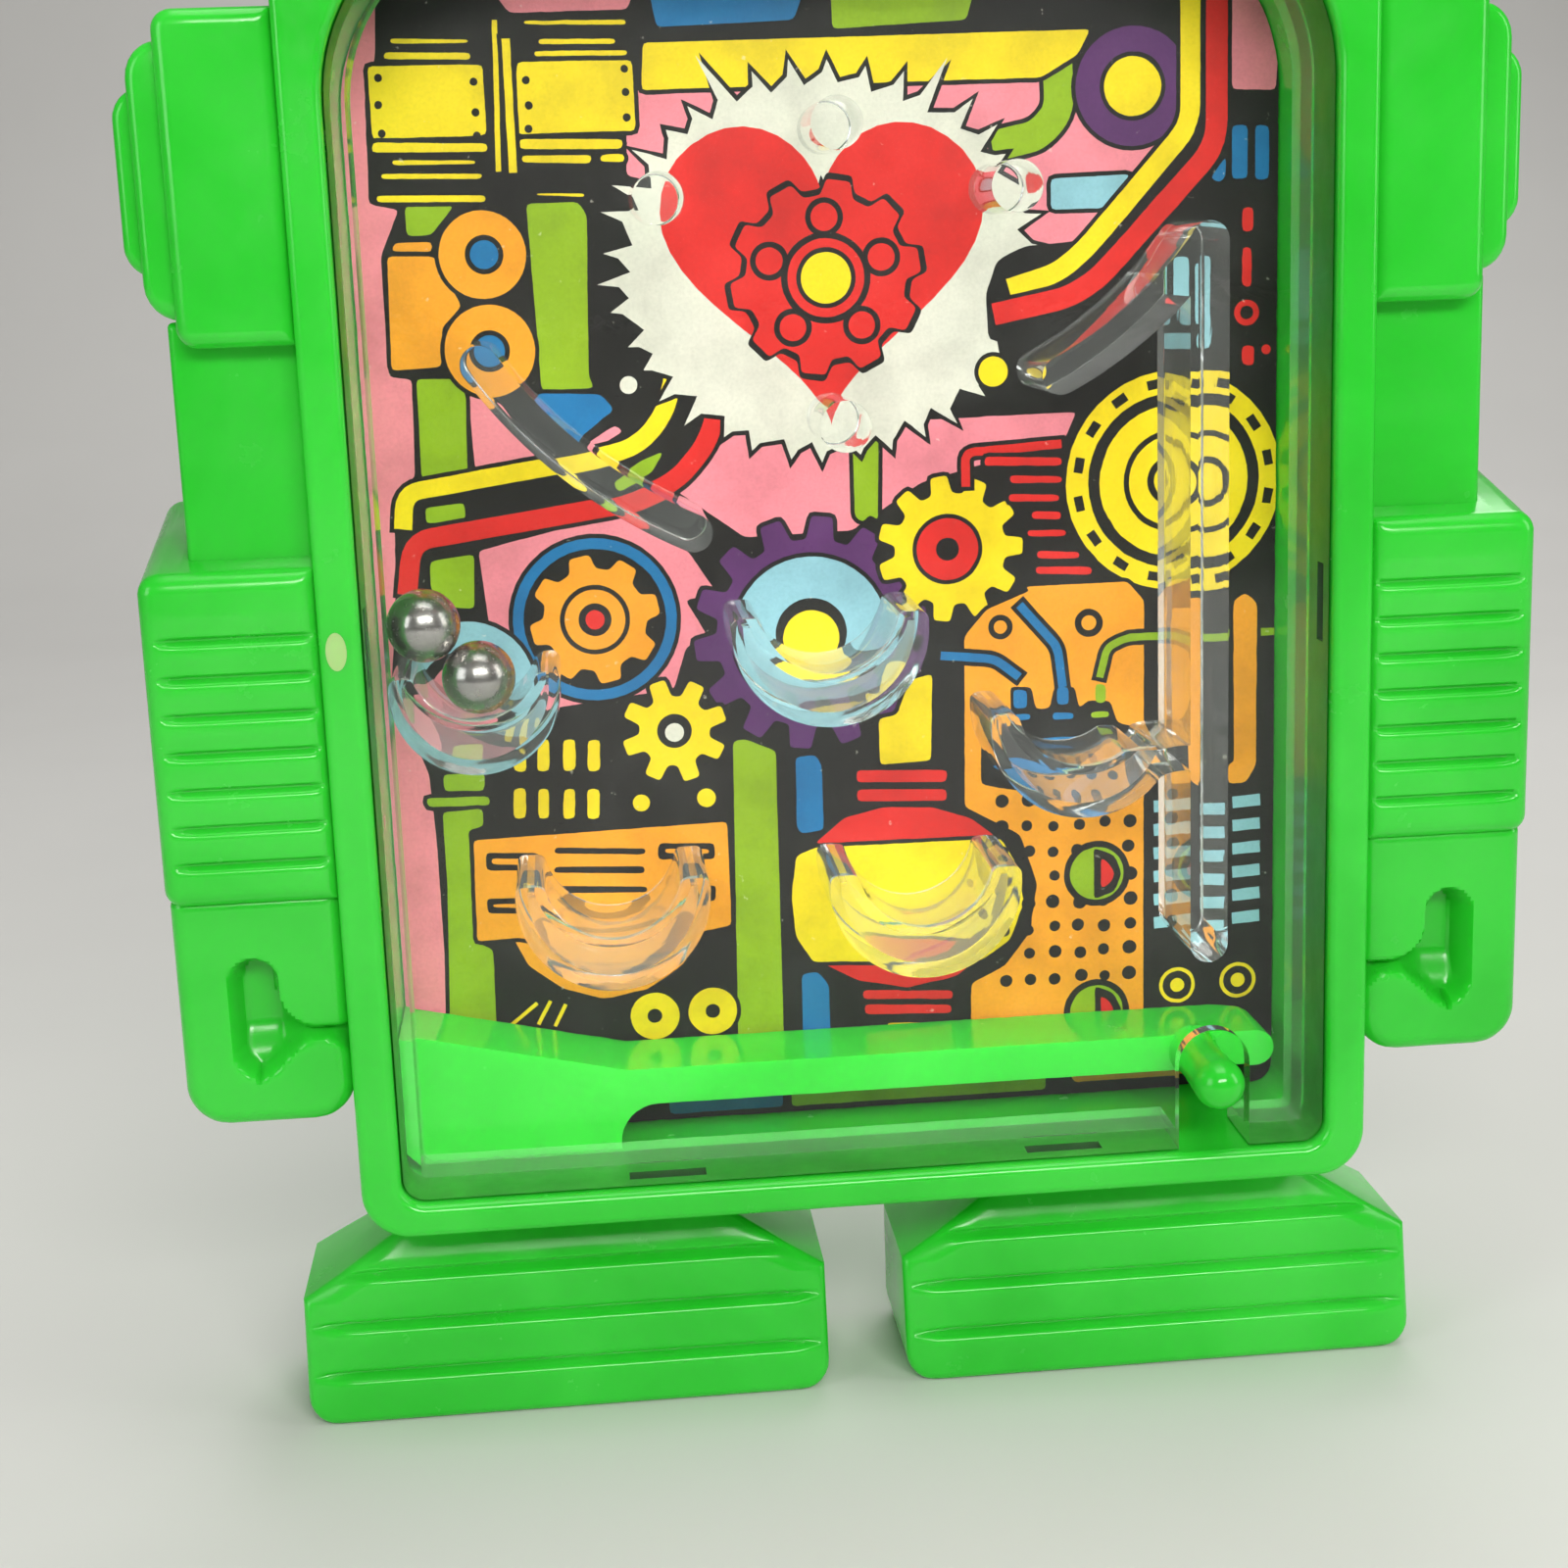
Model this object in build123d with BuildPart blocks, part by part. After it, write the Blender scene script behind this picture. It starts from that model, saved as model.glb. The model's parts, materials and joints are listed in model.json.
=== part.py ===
"""Pocket ball-shooting game in the shape of a standing robot, in millimetres.

A shallow casing stands on two ribbed feet, between two moulded arms and under a box
head. A printed card lies on its floor behind a clear snap-in cover. Pins, cups and
guides reach back from the cover towards the card, and two steel balls roll between
them. Pressing the peg bends the launch lever, which flicks a ball up the lane.

Frame: +Z up, +X to the right as seen from the front, front faces -Y. The origin is on
the ground, at the middle of the overall width and depth.
"""
import os

from build123d import *

# Casing
body_width = 64.0
body_height = 82.0
leg_height = 14.6
casing_depth = 15.0
body_corner_r = 3.0
side_rim = 2.5
bottom_rim = 2.1
top_rim = 2.5
floor_thickness = 1.9
window_top_r = 11.0
window_bottom_r = 1.5
edge_round = 0.6

# Back cover and its two screws
back_thickness = 2.0
back_edge_chamfer = 0.8
screw_shank_r = 0.9
screw_head_r = 1.8
screw_length = 7.0
screw_inset = 3.6
screw_slot_width = 0.5
tongue_width = 6.0
tongue_height = 1.0
tongue_depth = 1.5
tongue_x = 18.0

# Clear cover
cover_recess = 0.9
cover_thickness = 1.3
flange_thickness = 1.1
flange_depth = 5.3
tab_length = 4.9
tab_depth = 1.6
tab_proud = 0.6
tab_behind_rim = 2.4
bottom_tab_x = 12.8
side_tab_z = 51.6

# Card
card_thickness = 0.3

# What reaches back from the cover towards the card. Places in the window are shares of
# its half width and of its height, so that the field keeps its layout.
rib_gap = 2.0
pin_r = 1.55
pins = {
    "pin_top": (0.0, 0.835),
    "pin_left": (-0.375, 0.784),
    "pin_right": (0.375, 0.784),
    "pin_bottom": (0.0, 0.607),
}
cup_base = 3.3
cup_tip_rise = 0.9
cup_tip_r = 0.55
cup_wall_r = 5.2
cup_wall_hollow_r = 3.9
cup_wall_share = 0.3475
cup_r = 6.05
cup_hollow_r = 4.3
cups = {
    "cup_centre": (-0.046, 0.371),
    "cup_lower_left": (-0.5425, 0.164),
    "cup_lower_right": (0.1485, 0.159),
}
lane_cup_offset = 6.6
lane_cup_share = 0.2855
lane_cup_r = 5.9
lane_cup_arm = 1.6
guide_thickness = 2.3
guide_left_places = ((-0.763, 0.665), (-0.583, 0.590), (-0.332, 0.530))
guide_right_steps = ((-3.8, -4.1), (-9.1, -7.6))
lane_width = 4.9
lane_rib_thickness = 2.4
lane_rib_above_lever = 6.2
lane_rib_top_share = 0.753

# Launch lever: a block wedged in the lower left corner and a thin springy arm
lever_depth = 6.4
lever_gap = 0.4
arm_thickness = 2.4
arm_above_window = 6.0
arm_end_gap = 1.2
arm_end_chamfer = 2.0
root_gap = 0.2
block_length = 13.8
block_rise = 3.3
block_fillet = 2.5
peg_from_wall = 6.0
peg_root_r = 1.6
peg_tip_r = 1.3
peg_proud = 1.9
peg_slot_width = 4.6
peg_slot_rise = 8.0

# Balls, one resting in the cup by the wall and one against it
ball_r = 2.25
ball_offset = 0.2
ball_gap = 0.1

# Arms
arm_front = 0.6
arm_set_back = 0.4
shoulder_share = 0.673
shoulder_height = 18.9
shoulder_plates = ((6.8, 0.0), (1.8, 1.6), (1.1, 4.1))
shoulder_step_inset = 1.2
shoulder_chamfer = 0.9
upper_arm_width = 7.6
upper_arm_front = 3.0
upper_arm_set_back = 2.4
forearm_width = 10.4
forearm_gap = 0.5
forearm_bottom_share = 0.268
forearm_top_share = 0.516
forearm_top_rise = 3.0
forearm_front = 0.3
forearm_round = 1.1
groove_pitch = 2.28
groove_margin = 2.6
groove_width = 0.7
groove_cut = 0.55
hand_width = 10.3
hand_gap = 0.3
hand_share = 0.094
hand_front = 1.2
hand_set_back = 1.6
hand_round = 2.6
hand_edge_round = 0.6
grip_width = 3.1
grip_length = 6.5
grip_offset = 5.75
grip_rise = 3.7
grip_cut = 5.0
grip_mouth = 0.8
grip_mouth_rise = 6.0

# Feet
foot_width = 34.3
foot_inner_x = 2.6
foot_front = 4.6
foot_proud = 1.5
foot_steps = 3
foot_step_height = 3.2
foot_step_back = 0.6
foot_lip_height = 0.6
foot_slope_z = 8.2
foot_corner_r = 1.7
instep_width = 21.0
instep_z = 12.3
instep_front = 7.6
heel_set_back = 1.6

# Head
neck_width = 22.0
neck_height = 2.6
neck_front = 3.6
neck_set_back = 2.4
head_width = 38.0
head_height = 22.0
head_front = 1.2
head_proud = 0.4
head_round = 3.0
head_edge_round = 1.0
face_width = 30.0
face_height = 14.0
face_cut = 1.2
eye_r = 3.1
eye_ring = 0.8
eye_x = 7.5
eye_rise = 1.6
eye_raise = 0.9
grille_bars = 3
grille_width = 11.0
grille_bar = 0.7
grille_drop = 2.6
grille_pitch = 1.4
ear_r = 4.0
ear_reach = 2.2

# How the limbs and the head plug into the casing
plug_reach = 1.4
plug_root = 1.5
arm_plug = (8.0, 10.0)
forearm_plug = (6.0, 8.0)
foot_plug = (12.0, 4.0)
foot_plug_set_back = 5.0
neck_plug = (14.0, 6.0)

# Named clearances
fit_gap = 0.1
seat_gap = 0.05

# Derived sizes and places
body_depth = casing_depth + back_thickness
rim_y = peg_proud - (body_depth + peg_proud) / 2
half_body = body_width / 2
body_top_z = leg_height + body_height
body_centre_z = leg_height + body_height / 2
floor_depth = casing_depth - floor_thickness
window_half = half_body - side_rim
window_bottom_z = leg_height + bottom_rim
window_top_z = body_top_z - top_rim
window_height = window_top_z - window_bottom_z
window_centre_z = (window_bottom_z + window_top_z) / 2
cover_back = cover_recess + cover_thickness
flange_end = cover_recess + flange_depth
flange_inner_x = window_half - fit_gap - flange_thickness
card_front = floor_depth - card_thickness
rib_reach = card_front - rib_gap - cover_back
rib_end = cover_back + rib_reach
arm_top_z = window_bottom_z + arm_above_window
arm_bottom_z = arm_top_z - arm_thickness
arm_middle_z = arm_top_z - arm_thickness / 2
lever_width = card_front - lever_gap - lever_depth
block_right_x = -window_half + fit_gap + block_length
block_end_x = block_right_x + block_fillet
arm_start_x = block_end_x + root_gap
arm_end_x = flange_inner_x - arm_end_gap
peg_x = flange_inner_x - peg_from_wall
peg_slot_top_z = window_bottom_z + peg_slot_rise
lane_rib_x = flange_inner_x - lane_width - lane_rib_thickness / 2
lane_rib_face_x = lane_rib_x - lane_rib_thickness / 2
lane_rib_bottom_z = arm_top_z + lane_rib_above_lever
lane_rib_top_z = window_bottom_z + lane_rib_top_share * window_height
lane_cup_x = lane_rib_face_x - lane_cup_offset
lane_cup_bottom_z = window_bottom_z + lane_cup_share * window_height
wall_cup_x = -flange_inner_x + cup_wall_r + seat_gap
wall_cup_bottom_z = window_bottom_z + cup_wall_share * window_height
ball_depth = cover_back + ball_r + seat_gap
ball_lower_x = wall_cup_x + ball_offset
ball_lower_z = wall_cup_bottom_z + cup_base + ball_r + ball_gap
ball_upper_x = -flange_inner_x + ball_r + seat_gap
ball_upper_z = ball_lower_z + ((2 * ball_r + ball_gap) ** 2 - (ball_lower_x - ball_upper_x) ** 2) ** 0.5
screw_x = half_body - screw_inset
screw_z = body_top_z - screw_inset
arm_back = casing_depth - arm_set_back
upper_arm_back = casing_depth - upper_arm_set_back
hand_back = casing_depth - hand_set_back
arm_middle = (arm_front + arm_back) / 2
shoulder_bottom_z = leg_height + shoulder_share * body_height
shoulder_centre_z = shoulder_bottom_z + shoulder_height / 2
forearm_bottom_z = leg_height + forearm_bottom_share * body_height
forearm_top_z = leg_height + forearm_top_share * body_height
forearm_centre_z = (forearm_bottom_z + forearm_top_z) / 2
rib_grooves = int((forearm_top_z - forearm_bottom_z - 2 * groove_margin) / groove_pitch) + 1
hand_bottom_z = leg_height + hand_share * body_height
foot_centre_x = foot_inner_x + foot_width / 2
foot_back = casing_depth + foot_proud
foot_plug_middle = casing_depth - foot_plug_set_back
neck_back = casing_depth - neck_set_back
neck_middle = (neck_front + neck_back) / 2
head_back = casing_depth + head_proud
head_bottom_z = body_top_z + neck_height
head_centre_z = head_bottom_z + head_height / 2
sides = {"left": -1, "right": 1}


def in_window(x_share, z_share):
    """A place in the window, from its middle line and its lower edge."""
    return x_share * flange_inner_x, window_bottom_z + z_share * window_height


def facing(depth):
    """Plane parallel to the window, this far behind the rim, with X right and Z up."""
    return Plane.XZ.offset(-(rim_y + depth))


def window_outline(depth, inset):
    """The window's outline, drawn this far behind the rim and this much smaller."""
    with BuildSketch(facing(depth)) as outline:
        with Locations((0, window_centre_z)):
            Rectangle(2 * (window_half - inset), window_top_z - window_bottom_z - 2 * inset)
        fillet(outline.vertices().group_by(Axis.Y)[-1], window_top_r - inset)
        fillet(outline.vertices().group_by(Axis.Y)[0], max(window_bottom_r - inset, fit_gap))
    return outline.sketch


def rectangle_at(depth, x, z, width, height, corner=0.0):
    """An upright rectangle centred on x and z, this far behind the rim."""
    with BuildSketch(facing(depth)) as outline:
        with Locations((x, z)):
            if corner > 0:
                RectangleRounded(width, height, corner)
            else:
                Rectangle(width, height)
    return outline.sketch


def block(x_from, x_to, front, back, z_from, z_to, mode=Mode.ADD):
    """A square block between two depths behind the rim."""
    centre = ((x_from + x_to) / 2, rim_y + (front + back) / 2, (z_from + z_to) / 2)
    with Locations(centre):
        Box(abs(x_to - x_from), back - front, z_to - z_from, mode=mode)


def plug(centre, size, gap, mode=Mode.ADD):
    """A limb's plug, or with a gap the pocket that takes it; size is along X, Y and Z."""
    with Locations(centre):
        Box(*[length + 2 * gap for length in size], mode=mode)


def arm_plugs(side):
    """Centre and size of the two plugs that join an arm to the casing's side."""
    x = side * (half_body + (plug_root - plug_reach) / 2)
    y = rim_y + arm_middle
    yield (x, y, shoulder_centre_z), (plug_reach + plug_root, *arm_plug)
    yield (x, y, forearm_centre_z), (plug_reach + plug_root, *forearm_plug)


def foot_plug_place(side):
    """Centre and size of the plug on top of a foot."""
    centre = (side * foot_centre_x, rim_y + foot_plug_middle, leg_height + plug_reach / 2)
    return centre, (foot_plug[0], foot_plug[1], plug_reach)


def neck_plug_place():
    """Centre and size of the plug under the neck."""
    centre = (0, rim_y + neck_middle, body_top_z - plug_reach / 2)
    return centre, (neck_plug[0], neck_plug[1], plug_reach)


def tab_places():
    """Each snap tab on the cover's edge: x, z and whether it lies along X."""
    for side in sides.values():
        yield side * bottom_tab_x, window_bottom_z, True
        yield side * bottom_tab_x, window_top_z, True
        yield side * window_half, side_tab_z, False


def snap_tabs(gap, mode=Mode.ADD):
    """The tabs on the cover's edge, or with a gap the pockets that they snap into."""
    for x, z, flat in tab_places():
        along = tab_length + 2 * gap
        across = 2 * (tab_proud + gap)
        width, height = (along, across) if flat else (across, along)
        front = tab_behind_rim - gap
        back = tab_behind_rim + tab_depth + gap
        block(x - width / 2, x + width / 2, front, back, z - height / 2, z + height / 2, mode)


def screw_shape(gap, mode=Mode.ADD):
    """The two back cover screws, or with a gap their countersunk holes."""
    for side in sides.values():
        head_face = Plane(
            origin=(side * screw_x, rim_y + body_depth, screw_z),
            x_dir=(1, 0, 0),
            z_dir=(0, -1, 0),
        )
        cone_height = screw_head_r - screw_shank_r
        with Locations(head_face):
            Cone(
                screw_head_r + gap,
                screw_shank_r + gap,
                cone_height,
                align=(Align.CENTER, Align.CENTER, Align.MIN),
                mode=mode,
            )
            Cylinder(
                screw_shank_r + gap,
                screw_length + 2 * gap,
                align=(Align.CENTER, Align.CENTER, Align.MIN),
                mode=mode,
            )


def tongues(gap, mode=Mode.ADD):
    """Two tongues that hold the back cover's lower edge, or with a gap their pockets."""
    z = leg_height + bottom_rim / 2
    for side in sides.values():
        x = side * tongue_x
        half_width = tongue_width / 2 + gap
        half_height = tongue_height / 2 + gap
        front = casing_depth - tongue_depth - gap
        block(
            x - half_width, x + half_width, front, casing_depth, z - half_height, z + half_height, mode
        )


# Casing: the open-fronted tray that holds everything
with BuildPart() as casing:
    front_outline = rectangle_at(0, 0, body_centre_z, body_width, body_height, body_corner_r)
    extrude(front_outline, amount=-casing_depth)
    extrude(window_outline(0, 0), amount=-floor_depth, mode=Mode.SUBTRACT)
    front_edges = casing.faces().sort_by(Axis.Y)[0].edges()
    fillet(front_edges, edge_round)
    snap_tabs(fit_gap, Mode.SUBTRACT)
    screw_shape(seat_gap, Mode.SUBTRACT)
    tongues(fit_gap, Mode.SUBTRACT)
    for arm_side in sides.values():
        for centre, size in arm_plugs(arm_side):
            plug(centre, size, fit_gap, Mode.SUBTRACT)
        plug(*foot_plug_place(arm_side), fit_gap, Mode.SUBTRACT)
    plug(*neck_plug_place(), fit_gap, Mode.SUBTRACT)
casing.part.label = "casing"

# Back cover: a plate over the casing's rear
with BuildPart() as back_cover:
    plate_outline = rectangle_at(
        casing_depth, 0, body_centre_z, body_width, body_height, body_corner_r
    )
    extrude(plate_outline, amount=-back_thickness)
    chamfer(back_cover.faces().sort_by(Axis.Y)[-1].edges(), back_edge_chamfer)
    tongues(0)
    screw_shape(seat_gap, Mode.SUBTRACT)
back_cover.part.label = "back_cover"

with BuildPart() as back_screws:
    screw_shape(0)
    for screw_side in sides.values():
        x_middle = screw_side * screw_x
        half_slot = screw_slot_width / 2
        block(
            x_middle - screw_head_r,
            x_middle + screw_head_r,
            body_depth - screw_slot_width,
            body_depth,
            screw_z - half_slot,
            screw_z + half_slot,
            Mode.SUBTRACT,
        )
back_screws.part.label = "back_screws"

# Printed card on the casing's floor
with BuildPart() as playfield_card:
    extrude(window_outline(card_front, fit_gap), amount=-card_thickness)
playfield_card.part.label = "playfield_card"

# Clear cover: a panel with a flange round it, open at the bottom for the peg
with BuildPart() as clear_cover:
    extrude(window_outline(cover_recess, fit_gap), amount=-flange_depth)
    hollow = window_outline(cover_back, fit_gap + flange_thickness)
    extrude(hollow, amount=-(flange_depth - cover_thickness), mode=Mode.SUBTRACT)
    snap_tabs(0)
    slot_bottom_z = window_bottom_z - tab_proud
    slot_straight_z = peg_slot_top_z - peg_slot_width / 2
    block(
        peg_x - peg_slot_width / 2,
        peg_x + peg_slot_width / 2,
        cover_recess,
        flange_end,
        slot_bottom_z,
        slot_straight_z,
        Mode.SUBTRACT,
    )
    with BuildSketch(facing(cover_recess)):
        with Locations((peg_x, slot_straight_z)):
            Circle(peg_slot_width / 2)
    extrude(amount=-cover_thickness, mode=Mode.SUBTRACT)
clear_cover.part.label = "clear_cover"

shells = [casing, back_cover, back_screws, playfield_card, clear_cover]

# Pins on the back of the cover
for pin_name, place in pins.items():
    with BuildPart() as pin:
        with BuildSketch(facing(cover_back)):
            with Locations(in_window(*place)):
                Circle(pin_r)
        extrude(amount=-rib_reach)
    pin.part.label = pin_name
    shells.append(pin)


def crescent(x, bottom_z, outer_r, hollow_r):
    """A cup in the plane of the window: thick in the middle, with two rounded tips."""
    outer_z = bottom_z + outer_r
    hollow_z = bottom_z + cup_base + hollow_r
    with BuildSketch(facing(cover_back)) as cup_face:
        with Locations((x, outer_z)):
            Circle(outer_r)
        with Locations((x, hollow_z)):
            Circle(hollow_r, mode=Mode.SUBTRACT)
        with Locations((x, outer_z + cup_tip_rise + outer_r)):
            Rectangle(3 * outer_r, 2 * outer_r, mode=Mode.SUBTRACT)
        fillet(cup_face.vertices().group_by(Axis.Y)[-1], cup_tip_r)
    extrude(cup_face.sketch, amount=-rib_reach)


# Cups that catch a ball
with BuildPart() as cup_wall:
    crescent(wall_cup_x, wall_cup_bottom_z, cup_wall_r, cup_wall_hollow_r)
cup_wall.part.label = "cup_wall"
shells.append(cup_wall)

for cup_name, place in cups.items():
    with BuildPart() as cup:
        crescent(*in_window(*place), cup_r, cup_hollow_r)
    cup.part.label = cup_name
    shells.append(cup)


def lane_rib_outline(mode=Mode.ADD):
    """The rib beside the launch lane, as a tall bar with round ends."""
    length = lane_rib_top_z - lane_rib_bottom_z
    with Locations((lane_rib_x, lane_rib_bottom_z + length / 2)):
        SlotOverall(length, lane_rib_thickness, rotation=90, mode=mode)


with BuildPart() as lane_rib:
    with BuildSketch(facing(cover_back)):
        lane_rib_outline()
    extrude(amount=-rib_reach)
lane_rib.part.label = "lane_rib"
shells.append(lane_rib)

# The cup beside the lane has one tip and one arm that runs into the rib
with BuildPart() as cup_lane:
    crescent(lane_cup_x, lane_cup_bottom_z, lane_cup_r, cup_hollow_r)
    arm_z = lane_cup_bottom_z + cup_base
    block(
        lane_cup_x + cup_hollow_r / 2,
        lane_rib_face_x + lane_rib_thickness,
        cover_back,
        rib_end,
        arm_z + lane_cup_arm / 2,
        arm_z + 2 * cup_r,
        Mode.SUBTRACT,
    )
    with BuildSketch(facing(cover_back)):
        with BuildLine():
            arm_line = ThreePointArc(
                (lane_cup_x + 0.55 * cup_r, arm_z - 0.55 * lane_cup_arm),
                ((lane_cup_x + 0.8 * cup_r + lane_rib_face_x) / 2, arm_z + 0.1 * lane_cup_arm),
                (lane_rib_face_x + lane_cup_arm / 2, arm_z),
            )
        SlotArc(arm_line, lane_cup_arm)
        lane_rib_outline(Mode.SUBTRACT)
    extrude(amount=-rib_reach)
cup_lane.part.label = "cup_lane"
shells.append(cup_lane)

# Curved guides above the cups
with BuildPart() as guide_left:
    with BuildSketch(facing(cover_back)):
        with BuildLine():
            left_line = ThreePointArc(*[in_window(*place) for place in guide_left_places])
        SlotArc(left_line, guide_thickness)
    extrude(amount=-rib_reach)
guide_left.part.label = "guide_left"
shells.append(guide_left)

with BuildPart() as guide_right:
    with BuildSketch(facing(cover_back)):
        with BuildLine():
            guide_start = (lane_rib_x, lane_rib_top_z - lane_rib_thickness / 2)
            guide_ends = [(guide_start[0] + x, guide_start[1] + z) for x, z in guide_right_steps]
            right_line = ThreePointArc(guide_start, *guide_ends)
        SlotArc(right_line, guide_thickness)
        lane_rib_outline(Mode.SUBTRACT)
    extrude(amount=-rib_reach)
guide_right.part.label = "guide_right"
shells.append(guide_right)

# Launch lever, in two nodes that meet at the root of the springy arm
with BuildPart() as lever_block:
    block_left_x = -window_half + fit_gap
    block_bottom_z = window_bottom_z + fit_gap
    with BuildSketch(facing(lever_depth)):
        with BuildLine():
            Polyline(
                (block_end_x, arm_bottom_z),
                (block_end_x, arm_top_z),
                (block_right_x, arm_top_z),
                (block_left_x, arm_top_z + block_rise),
                (block_left_x, block_bottom_z + window_bottom_r),
                (block_left_x + window_bottom_r, block_bottom_z),
                (block_right_x, block_bottom_z),
                (block_right_x, arm_bottom_z - block_fillet),
            )
            fillet_start = (block_right_x, arm_bottom_z - block_fillet)
            RadiusArc(fillet_start, (block_end_x, arm_bottom_z), block_fillet)
        make_face()
    extrude(amount=-lever_width)
lever_block.part.label = "lever_block"
shells.append(lever_block)

with BuildPart() as launch_lever:
    arm_length = arm_end_x - arm_start_x
    arm_face = rectangle_at(
        lever_depth, arm_start_x + arm_length / 2, arm_middle_z, arm_length, arm_thickness
    )
    extrude(arm_face, amount=-lever_width)
    end_edges = launch_lever.faces().sort_by(Axis.X)[-1].edges()
    chamfer(end_edges.filter_by(Axis.Z).sort_by(Axis.Y)[-1], arm_end_chamfer)
    long_end = launch_lever.faces().sort_by(Axis.X)[-1].edges().filter_by(Axis.Y)
    fillet(long_end, arm_thickness / 2 - fit_gap)
    peg_length = lever_depth + peg_proud
    with BuildSketch(Plane(origin=(peg_x, 0, arm_middle_z), x_dir=(1, 0, 0), z_dir=(0, 0, 1))):
        with BuildLine():
            Polyline(
                (0, rim_y - peg_proud),
                (0, rim_y + lever_depth + arm_thickness / 2),
                (peg_root_r, rim_y + lever_depth + arm_thickness / 2),
                (peg_root_r, rim_y + lever_depth),
                (peg_tip_r, rim_y - peg_proud + peg_tip_r),
            )
            RadiusArc((peg_tip_r, rim_y - peg_proud + peg_tip_r), (0, rim_y - peg_proud), peg_tip_r)
        make_face()
    revolve(axis=Axis((peg_x, 0, arm_middle_z), (0, 1, 0)))
launch_lever.part.label = "launch_lever"
shells.append(launch_lever)

# Two steel balls, leaning on the cover's back
ball_places = {
    "ball_upper": (ball_upper_x, ball_upper_z),
    "ball_lower": (ball_lower_x, ball_lower_z),
}
for ball_name, (ball_x, ball_z) in ball_places.items():
    with BuildPart() as ball:
        with Locations((ball_x, rim_y + ball_depth, ball_z)):
            Sphere(ball_r)
    ball.part.label = ball_name
    shells.append(ball)


def on_side(side, depth, reach_from, reach_to, z_from, z_to, cut=0.0):
    """An upright outline beside the casing, its two outer corners cut off square."""
    x_middle = side * (half_body + (reach_from + reach_to) / 2)
    with BuildSketch(facing(depth)) as outline:
        with Locations((x_middle, (z_from + z_to) / 2)):
            Rectangle(reach_to - reach_from, z_to - z_from)
        if cut > 0:
            chamfer(outline.vertices().group_by(Axis.X)[-1 if side > 0 else 0], cut)
    return outline.sketch


def front_edges_between(solid, depth, z_from, z_to):
    """Every edge that lies this far behind the rim, between two heights."""
    for edge in solid.edges():
        centre = edge.center()
        if abs(centre.Y - rim_y - depth) < fit_gap and z_from <= centre.Z <= z_to:
            yield edge


# Arms: stepped shoulder, upper arm, ribbed forearm and gripping hand in one moulding
for side_name, side in sides.items():
    with BuildPart() as arm:
        # Forearm, its top rising towards the back
        inner_x = side * (half_body + forearm_gap)
        forearm_back_top_z = forearm_top_z + forearm_top_rise
        with BuildSketch(Plane.YZ.offset(inner_x)):
            with BuildLine():
                Polyline(
                    (rim_y + forearm_front, forearm_bottom_z),
                    (rim_y + arm_back, forearm_bottom_z),
                    (rim_y + arm_back, forearm_back_top_z),
                    (rim_y + forearm_front, forearm_top_z),
                    close=True,
                )
            make_face()
        extrude(amount=side * (forearm_width - forearm_gap))
        outer_face = arm.faces().sort_by(Axis.X)[-1 if side > 0 else 0]
        front_face = arm.faces().sort_by(Axis.Y)[0]
        fillet(set(outer_face.edges() + front_face.edges()), forearm_round)
        groove_length = forearm_width - forearm_gap - 2 * forearm_round
        for groove in range(rib_grooves):
            z = forearm_bottom_z + groove_margin + groove * groove_pitch
            with Locations((inner_x + side * (groove_length / 2 + forearm_round), rim_y, z)):
                Box(
                    groove_length + forearm_gap,
                    2 * (forearm_front + groove_cut),
                    groove_width,
                    mode=Mode.SUBTRACT,
                )

        # Hand, with a grip slot that opens towards the casing
        with BuildSketch(facing(hand_front)) as hand_outline:
            with Locations(
                (
                    side * (half_body + (hand_gap + hand_width) / 2),
                    (hand_bottom_z + forearm_bottom_z) / 2,
                )
            ):
                Rectangle(hand_width - hand_gap, forearm_bottom_z - hand_bottom_z)
            fillet(hand_outline.vertices().group_by(Axis.Y)[0], hand_round)
        extrude(amount=-(hand_back - hand_front))
        hand_edges = front_edges_between(
            arm, hand_front, hand_bottom_z, forearm_bottom_z - hand_edge_round
        )
        fillet(list(hand_edges), hand_edge_round)
        grip_x = half_body + grip_offset
        grip_mouth_z = hand_bottom_z + grip_mouth_rise
        with BuildSketch(facing(hand_front)):
            with Locations((side * grip_x, hand_bottom_z + grip_rise + grip_length / 2)):
                SlotOverall(grip_length, grip_width, rotation=90)
            with BuildLine():
                mouth_line = ThreePointArc(
                    (side * (grip_x - grip_width / 3), grip_mouth_z + grip_mouth / 2),
                    (side * (half_body + grip_offset / 2), grip_mouth_z - grip_mouth / 2),
                    (side * (half_body - hand_gap), grip_mouth_z),
                )
            SlotArc(mouth_line, grip_mouth)
        extrude(amount=-grip_cut, mode=Mode.SUBTRACT)

        # Upper arm
        upper_arm = on_side(side, upper_arm_front, 0, upper_arm_width, forearm_top_z, shoulder_bottom_z)
        extrude(upper_arm, amount=-(upper_arm_back - upper_arm_front))

        # Shoulder: a block with two smaller plates stacked on its outer side
        reach = 0.0
        inset = 0.0
        for plate_width, plate_inset in shoulder_plates:
            plate = on_side(
                side,
                arm_front + inset,
                reach,
                reach + plate_width,
                shoulder_bottom_z + plate_inset,
                shoulder_bottom_z + shoulder_height - plate_inset,
                shoulder_chamfer,
            )
            extrude(plate, amount=-(arm_back - arm_front - 2 * inset))
            reach += plate_width
            inset += shoulder_step_inset
        for centre, size in arm_plugs(side):
            plug(centre, size, 0)
    arm.part.label = f"arm_{side_name}"
    shells.append(arm)

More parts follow.
